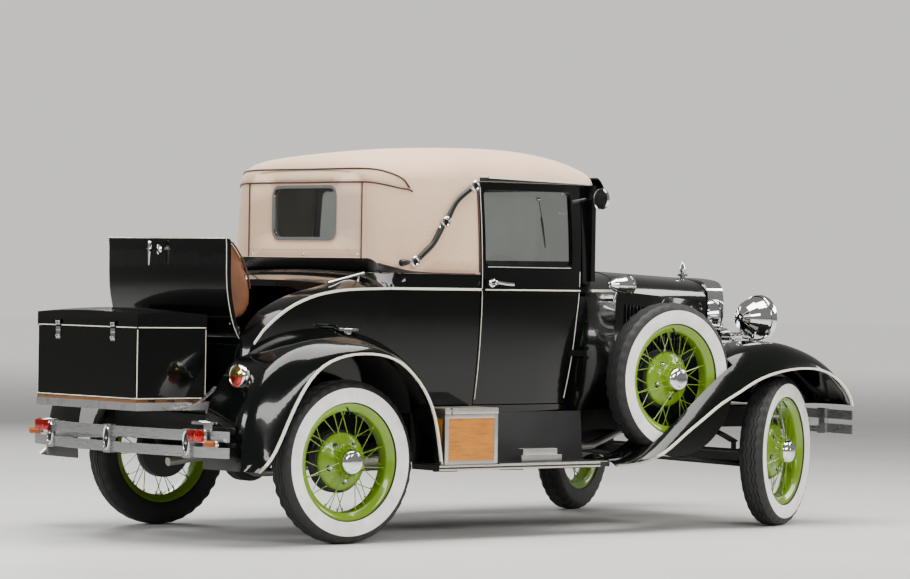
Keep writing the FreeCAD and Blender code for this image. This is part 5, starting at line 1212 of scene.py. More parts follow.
@dataclass
class Cushion:
    """One padded piece: its node, where its pleats run and how proud they stand."""

    node: str
    name: str
    body: str
    pleat: float = 0.064
    depth: float = 0.006
    cell: float = 0.012
    cap: float = 0.007
    pressure: float = 4.0
    frames: int = 12

    def pad(self) -> bpy.types.Object:
        """The node's solid as one even skin, puffed a little by a short cloth run.

        Returns:
            The pad, in no body yet.
        """
        pad = linked(self.name, mesh_of(self.name, merged(self.node)))
        even = pad.modifiers.new("even", "REMESH")
        even.mode, even.voxel_size = "VOXEL", self.cell
        self.settle(pad)
        before = [v.co.copy() for v in pad.data.vertices]
        cloth = pad.modifiers.new("puff", "CLOTH")
        cloth.settings.use_pressure = True
        cloth.settings.uniform_pressure_force = self.pressure
        cloth.settings.effector_weights.gravity = 0.0
        cloth.point_cache.frame_start, cloth.point_cache.frame_end = 1, self.frames
        scene = bpy.context.scene
        for step in range(1, self.frames + 1):
            scene.frame_set(step)
        self.settle(pad)
        scene.frame_set(1)
        for vertex, old in zip(pad.data.vertices, before):
            move = vertex.co - old
            if move.length > self.cap:
                vertex.co = old + move.normalized() * self.cap
        return pad

    @staticmethod
    def settle(pad: bpy.types.Object) -> None:
        """Turns the pad's modifiers into its mesh."""
        graph = bpy.context.evaluated_depsgraph_get()
        graph.update()
        made = bpy.data.meshes.new_from_object(pad.evaluated_get(graph), depsgraph=graph)
        pad.modifiers.clear()
        pad.data = made

    def welt(self, low: Vector, high: Vector) -> None:
        """The dark piping down both sides of a cushion's face.

        Args:
            low: the node's low corner.
            high: its high corner.
        """
        skin = Skin(self.node)
        shape = Shape()
        for side in (-1, 1):
            y = (high.y - 0.004) if side > 0 else (low.y + 0.004)
            run = []
            for i in range(25):
                angle = math.radians(-25 + 130 * i / 24)
                way = Vector((-math.cos(angle), 0, -math.sin(angle)))
                middle = Vector(((low.x + high.x) / 2, y, (low.z + high.z) / 2))
                place = skin.tree.ray_cast(middle - way * 0.8, way)[0]
                if place is not None:
                    run.append(place - way * 0.001)
            if len(run) > 3:
                shape.tube(run, 0.0042, Extra.piping, 8)
        shape.piece(f"{self.name}_welt", self.body, "brown_leather")

    def build(self) -> None:
        """Builds the cushion with sewn pleats along the car."""
        pad = self.pad()
        mesh = pad.data
        low, high = (Vector(c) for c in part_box(self.node))
        normals = [v.normal.copy() for v in mesh.vertices]
        for vertex, normal in zip(mesh.vertices, normals):
            facing = max(abs(normal.x), normal.z) - abs(normal.y)
            share = abs(math.sin(math.pi * (vertex.co.y - low.y) / self.pleat))
            crease = (1 - min(1.0, share * 2.6)) ** 2
            inside = min(1.0, min(vertex.co.y - low.y, high.y - vertex.co.y) / 0.05)
            if facing > 0 and inside > 0:
                vertex.co -= normal * self.depth * crease * facing * inside
            vertex.co.y = min(max(vertex.co.y, low.y), high.y)
        self.welt(low, high)
        dress(mesh, Wear.brown_leather)
        smooth = pad.modifiers.new("soft", "SMOOTH")
        smooth.iterations, smooth.factor = 2, 0.4
        self.settle(pad)
        carry(pad, self.body, "brown_leather", self.node)


@dataclass
class RearTrunk:
    """The trunk's pale piping, its latches and the lid's handle work."""

    rear: float = -885
    front: float = -515
    half: float = 393
    low: float = 630
    seam: float = 937
    bead: float = 0.0021
    corner: float = 14
    latches: Sequence[float] = (-215, 215)

    def loop(self, z: float) -> list[Vector]:
        """A line round the trunk at a height, 1 mm off its corners."""
        run = []
        for sx, sy, first in ((1, 1, 0), (-1, 1, 90), (-1, -1, 180), (1, -1, 270)):
            cx = (self.front - self.corner) if sx > 0 else (self.rear + self.corner)
            cy = sy * (self.half - self.corner)
            for i in range(5):
                angle = math.radians(first + i * 22.5)
                reach = self.corner + 1
                run.append(at(cx + reach * math.cos(angle), cy + reach * math.sin(angle), z))
        return run

    def build(self) -> None:
        """Builds the trim of the trunk and of its lid."""
        body = Shape()
        body.tube(self.loop(self.low + 5), self.bead, Extra.cream_line, 8, closed=True)
        for x, sx in ((self.rear, 1), (self.front, -1)):
            for side in (-1, 1):
                place = at(x + sx * self.corner * 0.29, side * (self.half - self.corner * 0.29), 0)
                run = [Vector((place.x, place.y, z / 1000)) for z in (self.low + 6, 780, self.seam - 3)]
                body.tube(run, self.bead, Extra.cream_line, 8)
        for y in self.latches:
            for z, tall in ((895, 16), (924, 12)):
                body.slab((0.0035, 0.03, tall / 1000), Wear.chrome, shift(self.rear - 8.6, y, z))
            self.bail(body, y, 10, (8.2, 886), (14, 900), 0.0018)
        body.piece("trunk_trim", "car", "chrome")
        lid = Shape()
        lid.tube(self.loop(self.seam + 6), self.bead, Extra.cream_line, 8, closed=True)
        for y in self.latches:
            lid.slab((0.0035, 0.028, 0.018), Wear.chrome, shift(self.rear - 8.6, y, 954))
            self.bail(lid, y, 12, (8.4, 945), (13, 962), 0.0016)
        lid.piece("trunk_lid_trim", "trunk_lid", "chrome")

    def bail(self, shape: Shape, y: float, half: float, foot: tuple[float, float], head: tuple[float, float],
             radius: float) -> None:
        """Adds a latch's wire loop.

        Args:
            shape: what it is added to.
            y: the latch's place across the car.
            half: half the loop's width.
            foot: how far its foot stands behind the trunk, and its height.
            head: the same for its head.
            radius: the wire's radius.
        """
        corners = ((-half, foot), (-half, head), (half, head), (half, foot))
        shape.tube([at(self.rear - back, y + across, z) for across, (back, z) in corners], radius, Wear.chrome, 6)


@dataclass
class DeckCorners:
    """The body's shoulder panels, which close the deck under the top's rear corners."""

    foot: Sequence[Point] = ((302, 626, 1131), (320, 628, 1131), (360, 630, 1131), (404, 631.5, 1131))
    head: Sequence[Point] = ((302, 500, 1189), (321, 533, 1197), (360, 590, 1198), (404, 621, 1198))
    bulge: float = 0.005
    thickness: float = 0.0025
    rows: int = 9

    def build(self) -> None:
        """Builds both panels."""
        shape = Shape()
        for side in (-1, 1):
            foot = curve_through([at(x, side * y, z) for x, y, z in self.foot], 5)
            head = curve_through([at(x, side * y, z) for x, y, z in self.head], 5)
            out = Vector((0, side * 0.8, 0.6))
            layers = []
            for depth in (0.0, self.thickness):
                for low, high in zip(foot, head):
                    for j in range(self.rows):
                        share = j / (self.rows - 1)
                        swell = self.bulge * math.sin(math.pi * share) - depth
                        layers.append(low.lerp(high, share) + out * swell)
            columns, rows = len(foot), self.rows
            back = columns * rows
            faces = []
            for i in range(columns - 1):
                for j in range(rows - 1):
                    a, b = i * rows + j, (i + 1) * rows + j
                    faces.append((a, b, b + 1, a + 1))
                    faces.append((back + a, back + a + 1, back + b + 1, back + b))
            rim = ([i * rows for i in range(columns)] + [(columns - 1) * rows + j for j in range(1, rows)]
                   + [i * rows + rows - 1 for i in range(columns - 2, -1, -1)] + list(range(rows - 2, 0, -1)))
            for a, b in zip(rim, rim[1:] + rim[:1]):
                faces.append((a, back + a, back + b, b))
            if side > 0:
                faces = [face[::-1] for face in faces]
            shape.add(layers, faces, Wear.black_paint)
        shape.piece("deck_corners", "car", "black_paint")


@dataclass
class RumbleLid:
    """The open lid's handle and edge line, on the face that looks back."""

    skin: Skin = field(default_factory=lambda: Skin("rumble_lid"))
    boss: Profile = ((-0.001, 0.0), (-0.001, 0.022), (0.002, 0.022), (0.004, 0.019), (0.007, 0.012), (0.012, 0.0085),
                     (0.04, 0.0075), (0.044, 0.0095), (0.056, 0.0095), (0.06, 0.006), (0.06, 0.0))
    grip: Profile = ((-0.003, 0.0), (0.0, 0.0075), (0.008, 0.0095), (0.03, 0.0085), (0.06, 0.0068), (0.09, 0.0052),
                     (0.104, 0.0046), (0.11, 0.0))

    def on(self, y: float, z: float) -> tuple[Vector, Vector]:
        """The lid's rear-facing skin at a place."""
        return self.skin.hit(at(-900, y, z), AHEAD)

    def build(self) -> None:
        """Builds the handle and the pale line round the lid: a trim line down its sides and a painted highlight across
        its top edge.
        """
        trim = Shape()
        root, normal = self.on(40, 1286)
        place = axis_frame(root, normal)
        trim.lathe(self.boss, Wear.chrome, place, 28)
        grip = axis_frame(root + normal * 0.05 + Vector((0, 0, 0.036)), Vector((0, 0.06, -1)))
        trim.lathe(self.grip, Wear.chrome, grip, 18)
        half, foot = 457, 800
        top_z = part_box("rumble_lid")[1][2] * 1000 - 3
        rows = [foot + (top_z - foot) * i / 16 for i in range(17)]
        edge = [self.on(-half, z)[0] for z in rows]
        # the run across the top edge is a painted highlight
        across = [self.on(y, top_z)[0] for y in range(-440, 441, 40)]
        far = [Vector((p.x, -p.y, p.z)) for p in edge[::-1]]
        trim.tube(edge + across + far, 0.0019, Extra.cream_line, 8)
        trim.piece("rumble_handle", "rumble_lid", "chrome")


@dataclass
class Lamps:
    """Lenses and rims of the lamps, over their solids. The profiles are in shares of a lamp's radius."""

    head: Point = (2762, 425, 1002)
    head_radius: float = 0.11
    head_rim: Profile = ((0.3, 1.0), (0.32, 1.03), (0.5, 1.045), (0.6, 1.02), (0.625, 0.955), (0.6, 0.93))
    head_lens: Profile = ((0.612, 0.925), (0.66, 0.8), (0.72, 0.6), (0.765, 0.34), (0.785, 0.12), (0.788, 0.0))
    head_back: Profile = ((-0.76, 0.0), (-0.772, 0.1), (-0.8, 0.08), (-0.81, 0.0))
    flutes: int = 13
    flute_pitch: float = 0.0135
    flute_reach: float = 0.093
    scuttle: Point = (1770, 560, 1157)
    scuttle_radius: float = 0.044
    scuttle_rim: Profile = ((1.0, 1.0), (1.02, 1.06), (1.25, 1.06), (1.34, 0.98), (1.3, 0.9))
    scuttle_lens: Profile = ((1.31, 0.9), (1.5, 0.66), (1.62, 0.34), (1.66, 0.0))
    tail: Point = (-500, 628, 739)
    tail_radius: float = 0.05
    tail_rim: Profile = ((0.012, 1.01), (0.012, 1.06), (0.021, 1.06), (0.026, 0.99), (0.024, 0.93))
    tail_lens: Profile = ((0.3, 0.04), (0.62, 0.037), (0.93, 0.0255))

    @staticmethod
    def scaled(profile: Profile, radius: float) -> Profile:
        """A profile in metres from one in shares of a radius."""
        return [(along * radius, out * radius) for along, out in profile]

    def head_lamp(self, glass: Shape, side: int) -> None:
        """Adds a headlamp's rim, fluted lens and rear cap.

        Args:
            glass: what it is added to.
            side: 1 for the left and -1 for the right.
        """
        x, y, z = self.head
        place = axis_frame(at(x, side * y, z), AHEAD)
        r = self.head_radius
        glass.lathe(self.scaled(self.head_rim, r), Wear.chrome, place, 48, closed=True)
        glass.lathe(self.scaled(self.head_lens, r), Extra.lamp_glass, place, 48)
        for k in range(self.flutes):
            d = (k - self.flutes // 2) * self.flute_pitch
            reach = math.sqrt(max(0.0, self.flute_reach**2 - d * d))
            run = []
            for t in (-1.0, -0.6, -0.2, 0.2, 0.6, 1.0):
                share = math.hypot(d, reach * t) / r
                run.append(place @ Vector((d, r * (0.788 - 0.22 * share**2.1) + 0.0006, reach * t)))
            glass.tube(run, 0.0016, Extra.lamp_glass, 6)
        glass.lathe(self.scaled(self.head_back, r), Wear.chrome, place, 20)

    def tail_lamp(self, glass: Shape, side: int) -> None:
        """Adds a tail lamp's rim and its lens of two colours.

        Args:
            glass: what it is added to.
            side: 1 for the left and -1 for the right.
        """
        x, y, z = self.tail
        place = axis_frame(at(x, side * y, z), ASTERN)
        r = self.tail_radius
        glass.lathe([(along, share * r) for along, share in self.tail_rim], Wear.chrome, place, 32, closed=True)
        for finish, first in ((Extra.olive_glass, 0.0), (Extra.red_glass, math.pi)):
            points = [Vector((0.0, 0.0405, 0.0))]
            faces: list[Face] = []
            for i in range(17):
                angle = first + math.pi * i / 16
                for share, depth in self.tail_lens:
                    points.append(Vector((share * r * math.cos(angle), depth, share * r * math.sin(angle))))
            for i in range(16):
                a, b = 1 + i * 3, 4 + i * 3
                faces.append((0, a, b))
                faces.extend(((a, a + 1, b + 1, b), (a + 1, a + 2, b + 2, b + 1)))
            glass.add(points, faces, finish, place)

    def build(self) -> None:
        """Builds the lamps' glass and rims."""
        glass = Shape()
        face = Skin("small_lamps")
        for side in (-1, 1):
            self.head_lamp(glass, side)
            x, y, z = self.scuttle
            place = axis_frame(at(x, side * y, z), AHEAD)
            glass.lathe(self.scaled(self.scuttle_rim, self.scuttle_radius), Wear.chrome, place, 32, closed=True)
            glass.lathe(self.scaled(self.scuttle_lens, self.scuttle_radius), Extra.lamp_glass, place, 32)
            self.tail_lamp(glass, side)
            glass.slab((0.03, 0.112, 0.052), Extra.red_glass, shift(-711, side * 598, 482), 0.01)
            glass.slab((0.018, 0.118, 0.058), Wear.chrome, shift(-702, side * 598, 482), 0.009)
            spot, _ = face.hit(at(-1000, side * 683, 450), AHEAD)
            amber = Matrix.Translation(spot + Vector((0.0015, 0, 0)))
            glass.slab((0.006, 0.09, 0.026), Extra.amber_glass, amber, 0.006)
        glass.piece("lamp_glass", "car", "glass", crease=40)


@dataclass
class RunningGear:
    """Running-board ribs, bumper clamps, step pads, the box's edging and the step plate."""

    board_top: float = 0.338
    rib: tuple[float, float] = (0.0042, 0.0026)
    box: Sequence[float] = (520, 826, -788, -614, 338, 566)
    board_rear: float = 478
    board_front: float = 1490
    ribs: int = 17
    rib_pitch: float = 0.01
    alloy: float = 0.0022
    oval: float = 0.42
    clamp: Profile = ((-0.004, 0.044), (0.004, 0.044), (0.0075, 0.047), (0.0095, 0.0515), (0.0075, 0.056),
                      (-0.004, 0.057))
    clamp_face: Profile = ((0.0045, 0.045), (0.0052, 0.0))
    bolt: Profile = ((0.0, 0.0), (0.0, 0.0085), (0.0035, 0.008), (0.0065, 0.005), (0.007, 0.0))
    pad_rim: Profile = ((-0.003, 0.0528), (0.0018, 0.0528), (0.0028, 0.0542), (0.0018, 0.0556), (-0.004, 0.0556),
                        (-0.004, 0.0528))
    rivet: Profile = ((0.0, 0.0), (0.0, 0.0034), (0.0012, 0.003), (0.002, 0.0))
    catch: Profile = ((-0.003, 0.0), (-0.003, 0.009), (0.003, 0.008), (0.005, 0.0))

    def boards(self, row: Tree) -> None:
        """Ribbed rubber on both running boards.

        Args:
            row: the tree that makes a row of bars.
        """
        shape = Shape()
        for side in (-1, 1):
            start_x = self.box[1] + 8 if side < 0 else self.board_rear + 12
            length = (self.board_front - start_x) / 1000
            middle = at((self.board_front + start_x) / 2, side * 626, self.board_top * 1000)
            shape.grow(row, Wear.board_rubber, Count=self.ribs, Start=(middle.x, middle.y, self.board_top + 0.001),
                       Step=(0.0, side * self.rib_pitch, 0.0), Size=(length, *self.rib))
            edge = shift((self.board_front + start_x) / 2, side * 797.5, self.board_top * 1000 + 1.5)
            shape.slab((length, 0.006, 0.004), Wear.chrome, edge)
        shape.piece("board_ribs", "car", "board_rubber", weld=1e-7)

    def bumper_clamps(self) -> None:
        """Oval clamps with a bolt on both bumpers."""
        shape = Shape()
        face = Skin("bumpers")
        for way, z in ((1, 450), (-1, 492)):
            for y in (-533, 0, 533):
                start = at(-1200 if way > 0 else 3600, y, z + (0 if way > 0 else 8))
                high, _ = face.hit(start + Vector((0, 0, 0.035)), Vector((way, 0, 0)))
                low, _ = face.hit(start - Vector((0, 0, 0.035)), Vector((way, 0, 0)))
                spot = (high + low) / 2
                place = axis_frame(spot, Vector((-way, 0, 0)))
                sink = place @ Matrix.Translation((0, -0.004, 0)) @ Matrix.Diagonal((self.oval, 1.0, 1.0, 1.0))
                shape.lathe(self.clamp, Wear.chrome, sink, 40, closed=True)
                shape.lathe(self.clamp_face, Wear.core_black, sink, 40)
                shape.lathe(self.bolt, Wear.chrome, place, 16)
        shape.piece("bumper_clamps", "car", "bumper_plate")

    def step_pads(self, row: Tree) -> None:
        """Ribs on the wing's and bumper's step pads.

        Args:
            row: the tree that makes a row of bars.
        """
        shape = Shape()
        for x, y, z in ((30, -690, 946), (-700, -640, 542)):
            middle = at(x, y, z)
            for k in range(-4, 5):
                reach = 0.048 * math.sqrt(max(0.05, 1 - (k / 4.8)**2))
                shape.grow(row, Wear.chrome, Count=1, Start=(middle.x + k * 0.0105, middle.y, middle.z + 0.0008),
                           Step=(0.0, 0.0, 0.0), Size=(0.0045, 2 * reach, 0.0028))
            shape.lathe(self.pad_rim, Wear.chrome, axis_frame(middle, UP, AHEAD), 40, closed=True)
        shape.piece("step_ribs", "car", "chrome", weld=1e-7)

    def box_edging(self) -> None:
        """Metal edging and catch of the wooden box, and the upright step plate ahead of it."""
        shape = Shape()
        x0, x1, y0, y1, z0, z1 = self.box
        for x in (x0 + 9, x1 - 9):
            shape.slab((0.02, self.alloy, 0.224), Extra.alloy, shift(x, y0 - 0.6, (z0 + z1) / 2))
        for z in (z0 + 10, z1 - 9):
            shape.slab((0.268, self.alloy, 0.018), Extra.alloy, shift((x0 + x1) / 2, y0 - 0.6, z))
        for x in (x0 - 0.6, x1 + 0.6):
            for y in (y0 + 9, y1 - 9):
                shape.slab((self.alloy, 0.02, 0.224), Extra.alloy, shift(x, y, (z0 + z1) / 2))
            for z in (z0 + 10, z1 - 9):
                shape.slab((self.alloy, 0.136, 0.018), Extra.alloy, shift(x, (y0 + y1) / 2, z))
        for x in (x0 + 9, x1 - 9):
            for z in (z0 + 20, (z0 + z1) / 2, z1 - 20):
                shape.lathe(self.rivet, Wear.chrome, axis_frame(at(x, y0 - 1.6, z), Vector((0, -1, 0))), 10)
        shape.piece("box_edging", "car", "wood")
        lid = Shape()
        low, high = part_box("board_box_lid")
        middle = (Vector(low) + Vector(high)) / 2
        span = Vector(high) - Vector(low)
        lid.slab((span.x - 0.002, span.y - 0.002, 0.0024), Extra.alloy,
                 Matrix.Translation((middle.x, middle.y, high[2] + 0.0008)))
        for y in (low[1] - 0.0004, high[1] + 0.0004):
            lid.slab((span.x - 0.001, self.alloy, span.z - 0.002), Extra.alloy,
                     Matrix.Translation((middle.x, y, middle.z)))
        for x in (low[0] - 0.0004, high[0] + 0.0004):
            lid.slab((self.alloy, span.y - 0.001, span.z - 0.002), Extra.alloy,
                     Matrix.Translation((x, middle.y, middle.z)))
        lid.tube([Vector((low[0] + 0.034, low[1] - 0.004, middle.z + d)) for d in (0.008, -0.006, -0.018)], 0.0042,
                 Wear.chrome, 8)
        lid.lathe(self.catch, Wear.chrome,
                  axis_frame(Vector((low[0] + 0.034, low[1] - 0.002, middle.z + 0.006)), Vector((0, -1, 0))), 12)
        lid.piece("box_lid_plate", "box_lid", "wood")
        plate = Shape()
        plate.slab((0.243, 0.006, 0.034), Extra.alloy, shift(1132, -742, 356), 0.0025)
        plate.slab((0.205, 0.048, 0.006), Extra.alloy, shift(1126, -716, 398), 0.0025)
        plate.slab((0.205, 0.006, 0.03), Extra.alloy, shift(1126, -738, 384), 0.0025)
        for k in range(6):
            plate.slab((0.19, 0.003, 0.0022), Wear.chrome, shift(1126, -735 + k * 7.6, 401.6))
        plate.piece("side_step_plate", "car", "steel")


@dataclass
class Cabin:
    """Dials, pedals, levers and the wiper."""

    dials: Sequence[tuple[float, float, float]] = ((30.0, 1138.0, 34.0), (-52.0, 1138.0, 26.0), (112.0, 1138.0, 26.0))
    tick: Profile = ((0, 0), (0, 0.0014), (0.0006, 0.0012), (0.0008, 0))
    lever_knob: Profile = ((-0.018, 0.0), (-0.014, 0.012), (0.0, 0.019), (0.014, 0.012), (0.018, 0.0))
    wiper_pivot: Profile = ((-0.008, 0.0), (-0.008, 0.009), (0.01, 0.008), (0.014, 0.0))

    def build(self) -> None:
        """Builds the cabin's fine parts."""
        shape = Shape()
        board = Skin("dashboard")
        for y, z, radius in self.dials:
            spot, _ = board.hit(at(1100, y, z), AHEAD)
            place = axis_frame(spot, ASTERN)
            r = radius / 1000
            shape.lathe([(-0.002, 0.0), (-0.002, r), (0.004, r), (0.006, r * 0.95), (0.005, r * 0.86),
                         (0.003, r * 0.84)], Wear.chrome, place, 32)
            shape.lathe([(0.002, r * 0.86), (0.0025, 0.0)], Extra.dial, place, 32)
            needle = Matrix.Translation(spot + Vector((-0.0038, 0, r * 0.2)))
            shape.slab((0.0016, 0.0012, r * 1.1), Wear.core_black, needle)
            for i in range(9):
                angle = math.radians(-120 + 30 * i)
                tick = spot + Vector((-0.0034, math.sin(angle) * r * 0.72, math.cos(angle) * r * 0.72))
                shape.lathe(self.tick, Wear.core_black, axis_frame(tick, ASTERN), 8)
        for y in (390, 310, 235):
            run = curve_through([at(1560, y, 640), at(1500, y, 690), at(1440, y, 730)], 4)
            shape.tube(run, 0.007, Wear.dark_steel, 8)
            shape.slab((0.012, 0.058, 0.07), Wear.board_rubber,
                       shift(1436, y, 735) @ Matrix.Rotation(math.radians(-40), 4, "Y"), 0.004)
        lever = curve_through([at(1330, 20, 596), at(1325, 20, 760), at(1290, 20, 860), at(1240, 22, 930)], 6)
        shape.tube(lever, 0.007, Wear.dark_steel, 10)
        shape.lathe(self.lever_knob, Wear.core_black, axis_frame(lever[-1], Vector((-0.5, 0, 1))), 16)
        brake = curve_through([at(1380, -70, 596), at(1370, -70, 760), at(1330, -70, 900)], 6)
        shape.tube(brake, 0.0065, Wear.steel, 8)
        shape.tube([brake[-1], brake[-1] + Vector((-0.012, 0, 0.07))], 0.01, Wear.board_rubber, 10)
        shape.piece("cabin_fittings", "car", "chassis_paint")
        wiper = Shape()
        glass = Skin("window_glass")
        pivot, _ = glass.hit(at(2000, -180, 1560), ASTERN)
        low, _ = glass.hit(at(2000, -240, 1330), ASTERN)
        out = Vector((0.01, 0, 0))
        wiper.tube([pivot + out, (pivot + low) / 2 + out * 1.3, low + out * 0.6], 0.0026, Wear.dark_steel, 8)
        blade = (pivot * 0.62 + low * 0.38) + out * 0.55
        wiper.tube([blade, low + out * 0.45], 0.0034, Wear.board_rubber, 6)
        wiper.lathe(self.wiper_pivot, Wear.chrome, axis_frame(pivot + out * 0.4, AHEAD), 16)
        wiper.piece("windscreen_wiper", "car", "dark_steel")


@dataclass
class BodyLines:
    """The fine pale lines of the doors and of the top's sides, the doors' handles, the irons' sleeves and the mirror's
    face.
    """

    lift: float = 0.0008
    line: float = 0.0017
    sleeves: Sequence[Profile] = (((772, 1582), (735, 1548), (700, 1508), (672, 1470)),
                                  ((588, 1392), (556, 1350), (512, 1300), (470, 1266)))
    door_boss: Profile = ((-0.001, 0.0), (-0.001, 0.02), (0.003, 0.019), (0.006, 0.012), (0.024, 0.009), (0.032, 0.01),
                          (0.036, 0.006), (0.036, 0.0))
    mirror_rim: Profile = ((-0.002, 0.0465), (0.0008, 0.0465), (0.0022, 0.048), (0.0008, 0.0495), (-0.006, 0.0495),
                           (-0.006, 0.0465))
    mirror_glass: Profile = ((0.0014, 0.0468), (0.002, 0.0))
    iron_foot: Profile = ((-0.03, 0.0), (-0.028, 0.01), (-0.012, 0.014), (0.006, 0.0165), (0.018, 0.014), (0.024, 0.0))
    iron_ring: Profile = ((-0.004, 0.0135), (0.0035, 0.0125), (0.0075, 0.016), (0.0075, 0.0205), (0.0035, 0.0245),
                          (-0.004, 0.024))
    ring_face: Profile = ((0.0005, 0.0135), (0.0008, 0.0))
    clip: Profile = ((-0.009, 0.0125), (-0.009, 0.014), (0.009, 0.014), (0.009, 0.0125))

    def door_line(self, side: int) -> None:
        """The pale lines down both edges of a door and along its belt; the belt line is partly a cream pinstripe and
        partly a painted highlight of the moulding.

        Args:
            side: 1 for the left door and -1 for the right.
        """
        name = "left" if side > 0 else "right"
        skin = Skin(f"door_{name}")
        shape = Shape()
        # the level row runs along the belt: a cream line that is partly a painted highlight of the moulding
        for rows in (((843, 1600), (843, 1400), (843, 1180), (843, 1000), (843, 800), (843, 626)),
                     ((1470, 1215), (1464, 1100), (1449, 980), (1437, 860), (1422, 740), (1405, 626)),
                     [(x, 1127) for x in range(852, 1465, 34)]):
            level = rows[0][1] == rows[1][1]
            run = []
            for x, z in rows:
                place, normal = skin.beside(x, z, side)
                run.append(place + normal * (self.lift * (2.2 if level else 1.0)))
            shape.tube(curve_through(run, 5), self.line * (2.0 if level else 1.0), Extra.cream_line, 6)
        knob, normal = skin.beside(876, 1158, side)
        handle = axis_frame(knob, normal, AHEAD)
        shape.lathe(self.door_boss, Wear.chrome, handle, 20)
        lever = [knob + normal * 0.028 + Vector((d, 0, h)) for d, h in ((-0.01, 0.004), (0.02, 0.001), (0.06, -0.004),
                                                                        (0.104, -0.006))]
        shape.tube(lever, 0.0075, Wear.chrome, 10)
        sill = []
        for x in (874, 1000, 1140, 1280, 1400):
            place, normal = skin.beside(x, 1232, side)
            sill.append(place + normal * 0.001)
        shape.tube(sill, 0.0026, Wear.chrome, 8)
        shape.piece(f"door_lines_{name}", f"door_{name}", "bright_trim")

    def mirror(self) -> None:
        """The mirror's silvered face and rim."""
        shape = Shape()
        place = axis_frame(at(1517.6, -690, 1557), ASTERN)
        shape.lathe(self.mirror_rim, Wear.chrome, place, 40, closed=True)
        shape.lathe(self.mirror_glass, Extra.mirror_silver, place, 40)
        skin = Skin("fabric_top")
        for side in (-1, 1):
            run = []
            for x in (846, 858, 872, 890):
                spot, normal = skin.beside(x, 1643, side)
                run.append(spot + normal * 0.003)
            shape.tube(run, 0.0042, Extra.cream_line, 8)
        shape.piece("mirror_face", "car", "chrome")

    def irons(self) -> None:
        """The black sleeves on the top's side irons."""
        shape = Shape()
        skin = Skin("landau_irons")
        for side in (-1, 1):
            for rows in self.sleeves:
                run = []
                for x, z in rows:
                    place, _ = skin.beside(x, z, side)
                    run.append(place - Vector((0, side * 0.005, 0)))
                shape.tube(curve_through(run, 5), 0.0128, Extra.iron_black, 12)
            place, _ = skin.beside(380, 1244, side)
            knob = axis_frame(place - Vector((0, side * 0.006, 0)), Vector((-1, 0, -0.1)))
            shape.lathe(self.iron_foot, Extra.iron_black, knob, 20)
            for x, z in ((798, 1600), (620, 1431), (438, 1250)):
                place, _ = skin.beside(x, z, side)
                ring = axis_frame(place + Vector((0, side * 0.001, 0)), Vector((0, side, 0)))
                shape.lathe(self.iron_ring, Wear.chrome, ring, 28, closed=True)
                shape.lathe(self.ring_face, Extra.iron_black, ring, 28)
            for x, z in ((655, 1463), (600, 1404)):
                place, _ = skin.beside(x, z, side)
                clip = axis_frame(place - Vector((0, side * 0.005, 0)), Vector((1, 0, 1)))
                shape.lathe(self.clip, Wear.chrome, clip, 16, closed=True)
        shape.piece("iron_sleeves", "car", "chrome")

    def build(self) -> None:
        """Builds all the lines and small fittings of the body."""
        for side in (-1, 1):
            self.door_line(side)
        self.mirror()
        self.irons()


# ---------------------------------------------------------------- the room


@dataclass(frozen=True)
class SoftLight:
    """A soft light: where it hangs and points, its width and height, its power in watts and its colour."""

    name: str
    place: Point
    look: Point
    size: tuple[float, float]
    watts: float
    colour: Colour

    def build(self) -> None:
        """Hangs the light."""
        data = bpy.data.lights.new(self.name, "AREA")
        data.shape = "RECTANGLE"
        data.size, data.size_y = self.size
        data.energy, data.color = self.watts, self.colour
        ray = Vector(self.look) - Vector(self.place)
        turn = ray.to_track_quat("-Z", "Y").to_matrix().to_4x4()
        linked(self.name, data).matrix_world = Matrix.Translation(Vector(self.place)) @ turn


